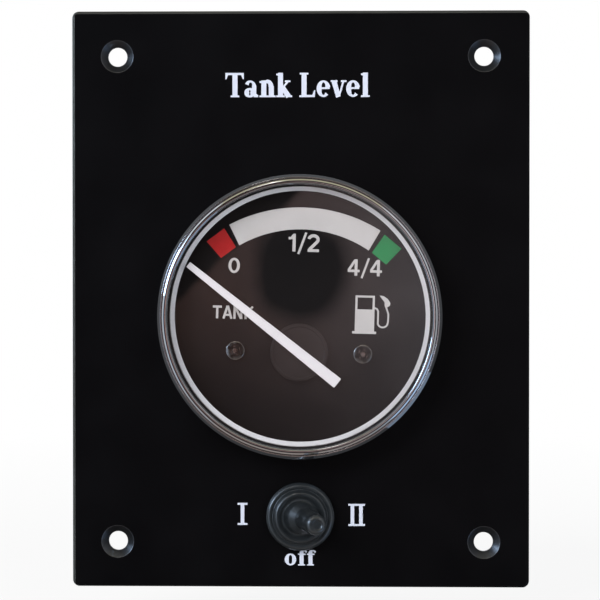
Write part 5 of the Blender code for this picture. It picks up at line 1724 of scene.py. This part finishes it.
@dataclass
class Clamp(SubAssembly):
    """The strap that bears on the panel's rear, its studs, washers and knurled nuts."""

    gauge: Gauge = field(default_factory=Gauge.from_frame)
    thickness: float = 1.2 * MM
    width: float = 14 * MM
    side_gap: float = 1.6 * MM
    bend: float = 2.0 * MM
    foot: float = 5 * MM
    seat_gap: float = 0.15 * MM
    stud_radius: float = 2.0 * MM
    thread_pitch: float = 0.7 * MM
    knurl: float = 0.5 * MM
    knurl_count: int = 34

    def build(self) -> None:
        """Makes the strap and what holds it."""
        rear = depths_of("clamp_bracket")[1]
        leg = case_radius() + self.side_gap + self.thickness / 2
        sole = self.seat_gap + self.thickness / 2
        bridge = rear - self.thickness / 2
        toe = leg + self.foot
        path = [(-toe, sole), (-leg, sole), (-leg, bridge), (leg, bridge), (leg, sole), (toe, sole)]
        bends = [0, *[self.bend] * 4, 0]
        middle = filleted([(*corner, radius) for corner, radius in zip(path, bends)], 10)
        strap = prism(
            "clamp_strap", [stroke(middle, self.thickness)],
            -self.width / 2, self.width / 2, self.gauge.centre, "Z",
        )
        bore = self.stud_radius + 0.3 * MM
        hole = boxed(0, bore, bridge - 2 * MM, rear + MM)
        sides = ("left", "right")
        holes = [
            turned(f"strap_hole_{side}", hole, centre_of(f"clamp_stud_{side}"), SMALL_ROUND)
            for side in sides
        ]
        carved(strap, holes)
        self.keep(smoothed(eased(strap, 0.18 * MM, 3)), ZINC, "clamp_bracket")
        for side in sides:
            self.build_fastener(side)

    def build_fastener(self, side: str) -> None:
        """Makes one welded stud with its washer and knurled nut.

        Args:
            side: left or right.
        """
        node = f"clamp_stud_{side}"
        spot = centre_of(node)
        stud = threaded_stud(f"{side}_clamp_stud", node, self.stud_radius, self.thread_pitch, ZINC)
        self.keep(stud, ZINC, node)
        bore = self.stud_radius + 0.2 * MM
        node = f"clamp_washer_{side}"
        front, rear = depths_of(node)
        wide = radius_of(node)
        ring = filleted(
            [
                (bore, front, 0.1 * MM), (wide, front, 0.12 * MM),
                (wide, rear, 0.25 * MM), (bore, rear, 0.1 * MM),
            ],
            3,
        )
        self.keep(smoothed(turned(f"{side}_clamp_washer", ring, spot)), ZINC, node)
        node = f"clamp_nut_{side}"
        front, rear = depths_of(node)
        crest = radius_of(node)
        blank_radius = crest - self.knurl * 0.66
        blank = filleted(
            [
                (bore, front, 0.2 * MM),
                (blank_radius, front, 0.35 * MM),
                (blank_radius, rear, 0.35 * MM),
                (crest * 0.72, rear, 0.2 * MM),
                (crest * 0.70, rear - 0.2 * MM, 0),
                (bore, rear - 0.2 * MM, 0.2 * MM),
            ],
            3,
        )
        nut = turned(f"{side}_knurled_nut", blank, Station())
        values = {
            "Radius": crest - self.knurl * 0.71,
            "Count": self.knurl_count,
            "Tooth": (self.knurl, self.knurl, rear - front - 0.9 * MM),
            "Twist": math.pi / 4,
            "Axis": (0, 0, 1),
            "Depth": (front + rear) / 2,
        }
        Pattern(Repeat.TEETH).add(nut, BRASS, values)
        nut.data.transform(spot.matrix())
        self.keep(smoothed(nut), BRASS, node)


@dataclass
class Movement(SubAssembly):
    """The crossed coils; the bobbin, bearings, frame, pillars and board carry over."""

    gauge: Gauge = field(default_factory=Gauge.from_frame)
    wire: float = 0.18 * MM
    layers: int = 3
    turns: int = 17
    corner: float = 1.0 * MM
    coil_thickness: float = 1.15 * MM

    def build(self) -> None:
        """Winds both coils and dresses the solids round them."""
        carried = {
            "movement_frame": ZINC,
            "dial_pillar_left": BRASS,
            "dial_pillar_right": BRASS,
            "bobbin_front": NYLON,
            "bobbin_rear": NYLON,
            "bearing_front": BRASS,
            "bearing_rear": BRASS,
            "terminal_board": PHENOLIC,
        }
        for node, finish in carried.items():
            dress(node, finish)
        self.wind("coil_inner", "Z")
        self.wind("coil_outer", "X")

    def wind(self, node: str, along: str) -> None:
        """Lays one coil's turns of wire side by side.

        Args:
            node: the solid that gives the coil's size.
            along: the axis that the wire goes round, X or Z.
        """
        low, high = depths_of(node)
        middle = (low + high) / 2
        depth = (high - low) / 2
        pivot = self.gauge.pivot
        width = 6.8 * MM
        across = self.half_width(node, along)
        shape = bmesh.new()
        step = self.coil_thickness / self.layers
        for layer in range(self.layers):
            inset = step * (layer + 0.5)
            radius = self.corner + self.coil_thickness - inset
            sizes = (across - inset, depth - inset)
            corners = rectangle(2 * sizes[0], 2 * sizes[1], radius)
            loop = [(u, v) for u, v in filleted(corners, 4)]
            spots = [(u, v, -width / 2) if along == "Z" else (-width / 2, v, u) for u, v in loop]
            points = [shape.verts.new(spot) for spot in spots]
            for start, end in zip(points, points[1:] + points[:1]):
                shape.edges.new((start, end))
        mesh = bpy.data.meshes.new(f"{node}_wire")
        shape.to_mesh(mesh)
        shape.free()
        coil = bpy.data.objects.new(f"{node}_wire", mesh)
        bpy.context.scene.collection.objects.link(coil)
        pitch = (width - 2 * self.wire) / (self.turns - 1)
        coil.data.transform(Matrix.Translation([self.wire if axis == along else 0 for axis in "XYZ"]))
        step_vector = tuple(pitch if axis == along else 0.0 for axis in "XYZ")
        values = {"Wire": self.wire, "Count": self.turns, "Step": step_vector}
        Pattern(Repeat.WINDING).add(coil, COPPER, values)
        coil.data.transform(pivot.matrix() @ Matrix.Translation((0, middle, 0)))
        self.keep(smoothed(coil, math.radians(80)), COPPER, node)

    def half_width(self, node: str, along: str) -> float:
        """Half a coil's width across its axis, freed of the gauge's small turn.

        Args:
            node: the coil's solid.
            along: the axis that it is wound about.

        Returns:
            The half width in metres.
        """
        low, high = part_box(node)
        spread = high.x - low.x if along == "Z" else high.z - low.z
        turn = abs(self.gauge.pivot.turn)
        return (spread - 6.8 * MM * math.sin(turn)) / 2 / math.cos(turn)


@dataclass
class ToggleSwitch(SubAssembly):
    """The switch's bushing, washer, nuts, cover, body and lugs."""

    nodes_carried: tuple[tuple[str, Finish], ...] = (
        ("boot_nut", SILVER),
        ("contact_rocker", SILVER),
        ("toggle_lever", SILVER),
        ("toggle_pin", ZINC),
        ("toggle_plunger", NYLON),
        ("toggle_spring", ZINC),
    )
    thread_pitch: float = 0.75 * MM
    play: float = 0.2 * MM

    def build(self) -> None:
        """Makes what the rear shows, and dresses what the boot and the body hide."""
        for node, finish in self.nodes_carried:
            dress(node, finish)
        self.build_bushing()
        self.build_washer()
        spot = centre_of("switch_bushing")
        bore = radius_of("switch_bushing") + self.play
        self.keep(hexagon_nut("rear_nut", "back_nut", bore, spot), SILVER, "back_nut")
        self.build_cover()
        self.build_body()

    def build_bushing(self) -> None:
        """Makes the threaded bushing, bored for the lever's ball and its pin."""
        front, rear = depths_of("switch_bushing")
        outer = radius_of("switch_bushing")
        ridge = self.thread_pitch * 0.3
        core = outer - ridge
        throat, mouth, rear_bore = 2.05 * MM, 2.4 * MM, 2.6 * MM
        profile = filleted(
            [
                (core, front, 0.2 * MM),
                (core, rear, 0.1 * MM),
                (rear_bore, rear, 0),
                (throat, 0.45 * MM, 0),
                (throat, -2.475 * MM, 0),
                (mouth, front, 0),
            ],
            2,
        )
        bushing = turned("threaded_bushing", profile, Station(), MEDIUM_ROUND)
        values = {
            "Radius": core,
            "Ridge": ridge,
            "Pitch": self.thread_pitch,
            "Turns": (rear - front - 1.2 * self.thread_pitch) / self.thread_pitch,
            "Start": front + 0.6 * self.thread_pitch,
        }
        hole = arc((-1.5 * MM, 0), (0.55 * MM, 0.55 * MM), 0, 345, 23)
        carved(bushing, [prism("pin_hole", [hole], -4 * MM, 4 * MM, Station(), "X")])
        Pattern(Repeat.THREAD).add(bushing, SILVER, values)
        bushing.data.transform(centre_of("switch_bushing").matrix())
        self.keep(smoothed(bushing), SILVER, "switch_bushing")

    def build_washer(self) -> None:
        """Makes the lock washer with its inner teeth."""
        front, rear = depths_of("lock_washer")
        outer = radius_of("lock_washer")
        inner = radius_of("switch_bushing") + self.play
        ring_inner = inner + 0.9 * MM
        thickness = rear - front
        section = filleted(
            [
                (ring_inner, front, 0.08 * MM),
                (outer, front, 0.12 * MM),
                (outer, rear, 0.12 * MM),
                (ring_inner, rear, 0.08 * MM),
            ],
            3,
        )
        washer = turned("star_washer", section, Station(), MEDIUM_ROUND)
        values = {
            "Radius": (inner + ring_inner) / 2,
            "Count": 14,
            "Tooth": (ring_inner - inner, 0.8 * MM, thickness * 0.45),
            "Twist": math.radians(18),
            "Axis": (1, 0, 0),
            "Depth": (front + rear) / 2,
        }
        Pattern(Repeat.TEETH).add(washer, ZINC, values)
        washer.data.transform(centre_of("switch_bushing").matrix())
        self.keep(smoothed(washer), ZINC, "lock_washer")

    def build_cover(self) -> None:
        """Makes the bent cover with its hole."""
        low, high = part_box("switch_cover")
        thickness = 0.5 * MM
        leg = (high.x - low.x) / 2 - thickness / 2
        web = low.y + thickness / 2
        spot = centre_of("switch_bushing")
        path = filleted([(-leg, high.y, 0), (-leg, web, 0.6 * MM), (leg, web, 0.6 * MM), (leg, high.y, 0)], 8)
        width = high.z - low.z
        cover = prism("bent_cover", [stroke(path, thickness)], -width / 2, width / 2, spot, "Z")
        opening = 2.8 * MM
        hole = boxed(0, opening, low.y - MM, low.y + MM)
        carved(cover, [turned("cover_opening", hole, spot)])
        self.keep(smoothed(eased(cover, 0.1 * MM, 2)), SILVER, "switch_cover")

    def build_body(self) -> None:
        """Makes the moulded body with its well and slots, and the three lugs."""
        low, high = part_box("switch_body")
        spot = centre_of("switch_bushing")
        size = (high.x - low.x, high.z - low.z)
        wall, soft = 1.0 * MM, 0.6 * MM
        body = prism("moulded_body", [filleted(rectangle(*size, soft), 6)], low.y, high.y, spot)
        eased(body, 0.25 * MM, 3)
        floor = high.y - 1.6 * MM
        well = filleted(rectangle(size[0] - 2 * wall, size[1] - 2 * wall, soft), 6)
        tools = [prism("switch_well", [well], low.y - MM, floor, spot)]
        lugs = ("switch_lug_one", "switch_lug_common", "switch_lug_two")
        for node in lugs:
            place = centre_of(node)
            slot = rectangle(1.1 * MM, 2.3 * MM)
            outline = [(u, v) for u, v, _ in slot]
            tools.append(prism(f"{node}_slot", [outline], floor - MM, high.y + MM, place))
        carved(body, tools)
        self.keep(smoothed(body), PHENOLIC, "switch_body")
        for node in lugs:
            self.build_lug(node)

    def build_lug(self, node: str) -> None:
        """Makes one solder lug with its eye.

        Args:
            node: the solid that it stands for.
        """
        low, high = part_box(node)
        half, tip = (high.z - low.z) / 2, 0.62 * MM
        blade = filleted([(low.y, -half, 0), (high.y, -half, tip), (high.y, half, tip), (low.y, half, 0)], 6)
        thick = (high.x - low.x) / 2
        spot = centre_of(node)
        lug = prism(f"{node}_piece", [blade], -thick, thick, spot, "X")
        eye = arc((high.y - 2 * half, 0), (0.6 * MM, 0.6 * MM), 0, 348, 29)
        carved(lug, [prism(f"{node}_eye", [eye], -MM, MM, spot, "X")])
        self.keep(smoothed(eased(lug, 0.08 * MM, 1)), SILVER, node)


@dataclass
class Studio:
    """The pale room, the lamps, the cards that the glossy faces mirror, and the camera."""

    lens: float = 122.4
    sensor: float = 36.0
    shift: Pair = (0.003, -0.0052)
    spot: tuple[float, float, float] = (10 * MM, -430 * MM, 6.4 * MM)
    aim: tuple[float, float, float] = (-0.5 * MM, 0.0, 0.5 * MM)

    def build(self) -> None:
        """Sets everything round the object."""
        self.build_world()
        self.build_floor()
        self.build_lamps()
        self.build_cards()
        self.build_camera()

    @staticmethod
    def build_world() -> None:
        """A world that is white to the camera, a graded room to mirrors and dimmer as a light."""
        world = bpy.data.worlds.new("studio_world")
        world.use_nodes = True
        bpy.context.scene.world = world
        graph = Graph(world.node_tree)
        path = graph.node("ShaderNodeLightPath")
        seen = Signal(graph, path.outputs["Is Camera Ray"])
        through = Signal(graph, path.outputs["Is Transmission Ray"])
        mirrored = Signal(graph, path.outputs["Is Glossy Ray"])
        pale = graph.maths("MAXIMUM", seen, through)
        way = graph.node("ShaderNodeTexCoord").outputs["Generated"]
        parts = graph.node("ShaderNodeSeparateXYZ", inputs={0: way})
        across, depth, up = (Signal(graph, output) for output in parts.outputs)
        behind = graph.span(depth, -0.88, -0.55, 0.015, 0.62)
        above = graph.span(up - across * 0.3, -0.8, 0.9, 0.5, 1.2)
        level = graph.span(graph.maths("ABSOLUTE", depth - 0.1), 0.25, 0.5, 0.14, 1.0)
        light = graph.node("ShaderNodeBackground", inputs={"Color": (0.93, 0.96, 1.0, 1), "Strength": 0.22})
        inputs = {"Color": (0.92, 0.95, 1.0, 1), "Strength": behind * above * level}
        room = graph.node("ShaderNodeBackground", inputs=inputs)
        white = graph.node("ShaderNodeBackground", inputs={"Color": (1, 1, 1, 1), "Strength": 1.0})
        lit = graph.node("ShaderNodeMixShader", inputs={0: mirrored, 1: light.outputs[0], 2: room.outputs[0]})
        seen_mix = graph.node("ShaderNodeMixShader", inputs={0: pale, 1: lit.outputs[0], 2: white.outputs[0]})
        graph.node("ShaderNodeOutputWorld", inputs={"Surface": seen_mix.outputs[0]})

    @staticmethod
    def plane(name: str, size: Pair, place: Vector, target: Vector) -> Piece:
        """A flat card that faces a target.

        Args:
            name: the card's name.
            size: its width and height.
            place: its middle.
            target: the point that it faces.

        Returns:
            The card, which is outside the object.
        """
        u, v = size[0] / 2, size[1] / 2
        mesh = bpy.data.meshes.new(name)
        mesh.from_pydata([(-u, -v, 0), (u, -v, 0), (u, v, 0), (-u, v, 0)], [], [(0, 1, 2, 3)])
        turn = (target - place).to_track_quat("Z", "Y").to_matrix().to_4x4()
        mesh.transform(Matrix.Translation(place) @ turn)
        card = bpy.data.objects.new(name, mesh)
        bpy.context.scene.collection.objects.link(card)
        return card

    def build_floor(self) -> None:
        """A pale floor under the panel, which keeps its shadow."""
        floor = self.plane("floor", (6, 6), Vector((0, 0, -0.068)), Vector((0, 0, 1)))
        made = bpy.data.materials.new("pale_floor")
        made.use_nodes = True
        graph = Graph(made.node_tree)
        grain = graph.span(graph.noise(120 * MM), 0.3, 0.7)
        colour = graph.blend(grain, (0.86, 0.86, 0.86), (0.84, 0.84, 0.84))
        inputs = {"Base Color": colour, "Roughness": 0.8, "Specular IOR Level": 0.1}
        matt = graph.node("ShaderNodeBsdfPrincipled", inputs=inputs)
        glow = graph.node("ShaderNodeEmission", inputs={"Color": (1, 1, 1, 1), "Strength": 1.0})
        length = graph.node("ShaderNodeVectorMath", {"operation": "LENGTH"}, {0: graph.place()})
        far = graph.span(Signal(graph, length.outputs["Value"]), 0.15, 0.5, 0.88, 1.0)
        mixed = graph.node("ShaderNodeMixShader", inputs={0: far, 1: matt.outputs[0], 2: glow.outputs[0]})
        path = graph.node("ShaderNodeLightPath")
        inputs = {0: path.outputs["Is Camera Ray"], 1: matt.outputs[0], 2: mixed.outputs[0]}
        chosen = graph.node("ShaderNodeMixShader", inputs=inputs)
        graph.node("ShaderNodeOutputMaterial", inputs={"Surface": chosen.outputs[0]})
        floor.data.materials.append(made)
        floor.visible_glossy = False

    @staticmethod
    def build_lamps() -> None:
        """Large soft lamps that no glossy face mirrors."""
        lamps = (
            ("key_lamp", (-0.8, -1.3, 0.8), 0.9, 22, (1.0, 0.98, 0.96)),
            ("fill_lamp", (0.9, -1.3, 0.2), 1.0, 13, (0.93, 0.96, 1.0)),
            ("rear_lamp", (0.3, 1.2, 0.6), 1.0, 10, (1.0, 1.0, 1.0)),
        )
        for name, place, size, power, colour in lamps:
            data = bpy.data.lights.new(name, "AREA")
            data.size = size
            data.energy = power
            data.color = colour
            lamp = bpy.data.objects.new(name, data)
            lamp.location = place
            lamp.rotation_euler = (Vector(place)).to_track_quat("Z", "Y").to_euler()
            lamp.visible_glossy = False
            bpy.context.scene.collection.objects.link(lamp)

    def build_cards(self) -> None:
        """Cards that only mirrors see: a dark flag in front, and soft boxes at the sides."""
        cards = (
            ("front_flag", (1.5, 1.3), (0.0, -1.1, 0.1), (0.008, 0.008, 0.009)),
            ("left_wall", (0.4, 1.0), (-0.75, -0.62, 0.0), (0.42, 0.52, 0.68)),
            ("left_window", (0.7, 0.32), (-0.82, -0.47, 0.27), (4.0, 5.2, 6.8)),
            ("top_lamp", (0.11, 0.4), (-0.215, -0.61, 0.75), (2.6, 2.4, 2.3)),
            ("corner_lamp", (0.10, 0.3), (0.62, -0.56, 0.52), (1.5, 1.35, 1.25)),
            ("top_wall", (1.3, 0.5), (0.0, -0.55, 0.85), (0.46, 0.42, 0.29)),
            ("lower_right_box", (0.5, 0.5), (0.7, -0.5, -0.5), (0.45, 0.60, 0.85)),
            ("lower_right_glow", (0.5, 0.5), (0.75, -0.08, -0.62), (0.17, 0.22, 0.29)),
            ("bottom_wall", (1.2, 0.5), (-0.1, -0.55, -0.85), (0.30, 0.26, 0.24)),
        )
        for name, size, place, colour in cards:
            card = self.plane(name, size, Vector(place), Vector((0, 0, 0)))
            self.light_card(card, lambda graph, tint=colour: {"Color": (*tint, 1), "Strength": 1.0})
        spot = Vector((-0.03, -1.0, -0.03))
        haze = self.plane("room_in_the_glass", (0.34, 0.34), spot, Vector((-0.03, 0, -0.03)))
        self.light_card(haze, self.room_glow)

    @staticmethod
    def light_card(card: Piece, glow: Callable[[Graph], dict]) -> None:
        """Makes a card shine, for mirrors alone.

        Args:
            card: the card.
            glow: gives the Emission node's inputs.
        """
        made = bpy.data.materials.new(card.name)
        made.use_nodes = True
        graph = Graph(made.node_tree)
        shine = graph.node("ShaderNodeEmission", inputs=glow(graph))
        graph.node("ShaderNodeOutputMaterial", inputs={"Surface": shine.outputs[0]})
        card.data.materials.append(made)
        card.visible_camera = False
        card.visible_diffuse = False
        card.visible_shadow = False

    @staticmethod
    def room_glow(graph: Graph) -> dict:
        """The dim brown room that the gauge's glass mirrors.

        Args:
            graph: the card's shader tree.

        Returns:
            The Emission node's inputs.
        """
        across, _, up = graph.spot()
        drift = (graph.noise(45 * MM, 4.0) - 0.5) * 0.016
        side, height = across + 23 * MM + drift, up - 7 * MM + drift
        spread = graph.maths("SQRT", side * side + height * height * 0.8)
        head = graph.span(spread, 26 * MM, 39 * MM, 0.05, 1.0)
        corner = graph.span(across + up, -165 * MM, -85 * MM, 0.45, 1.0)
        wedge = graph.span(up - across * 0.86 + drift, 76 * MM, 82 * MM, 1.0, 0.05)
        foot = graph.span(up, -95 * MM, -25 * MM, 0.42, 1.0)
        warm = graph.span(across, -80 * MM, 60 * MM)
        cloud = graph.span(graph.noise(38 * MM, 3.0), 0.3, 0.7, 0.8, 1.15)
        side, height = across + 23.5 * MM, up + 27 * MM
        window = graph.span(graph.maths("SQRT", side * side + height * height), 90 * MM, 94 * MM, 1.0, 0.1)
        strength = head * wedge * foot * corner * cloud * window * (warm * 0.34 + 0.46)
        colour = graph.blend(warm, (1.0, 0.58, 0.50), (1.0, 0.88, 0.92))
        return {"Color": colour, "Strength": strength}

    def build_camera(self) -> None:
        """The camera in front of the panel."""
        data = bpy.data.cameras.new("camera")
        data.lens = self.lens
        data.sensor_width = self.sensor
        data.shift_x, data.shift_y = self.shift
        camera = bpy.data.objects.new("camera", data)
        place = Vector(self.spot)
        camera.location = place
        aim = Vector(self.aim) - place
        camera.rotation_euler = aim.to_track_quat("-Z", "Y").to_euler()
        bpy.context.scene.collection.objects.link(camera)
        bpy.context.scene.camera = camera
        bpy.context.scene.view_settings.view_transform = "Standard"


def main() -> None:
    """Builds every sub-assembly and the studio round them."""
    logging.basicConfig(level=logging.INFO, format="%(name)s %(message)s")
    assemblies = (
        Panel(),
        PanelPrint(),
        FrontRing(),
        Dial(),
        Pointer(),
        Boot(),
        Case(),
        Clamp(),
        Movement(),
        ToggleSwitch(),
    )
    for assembly in assemblies:
        assembly.build()
        log.info("%s: %d pieces", type(assembly).__name__, len(assembly.pieces))
    Studio().build()


if __name__ == "__main__":
    main()
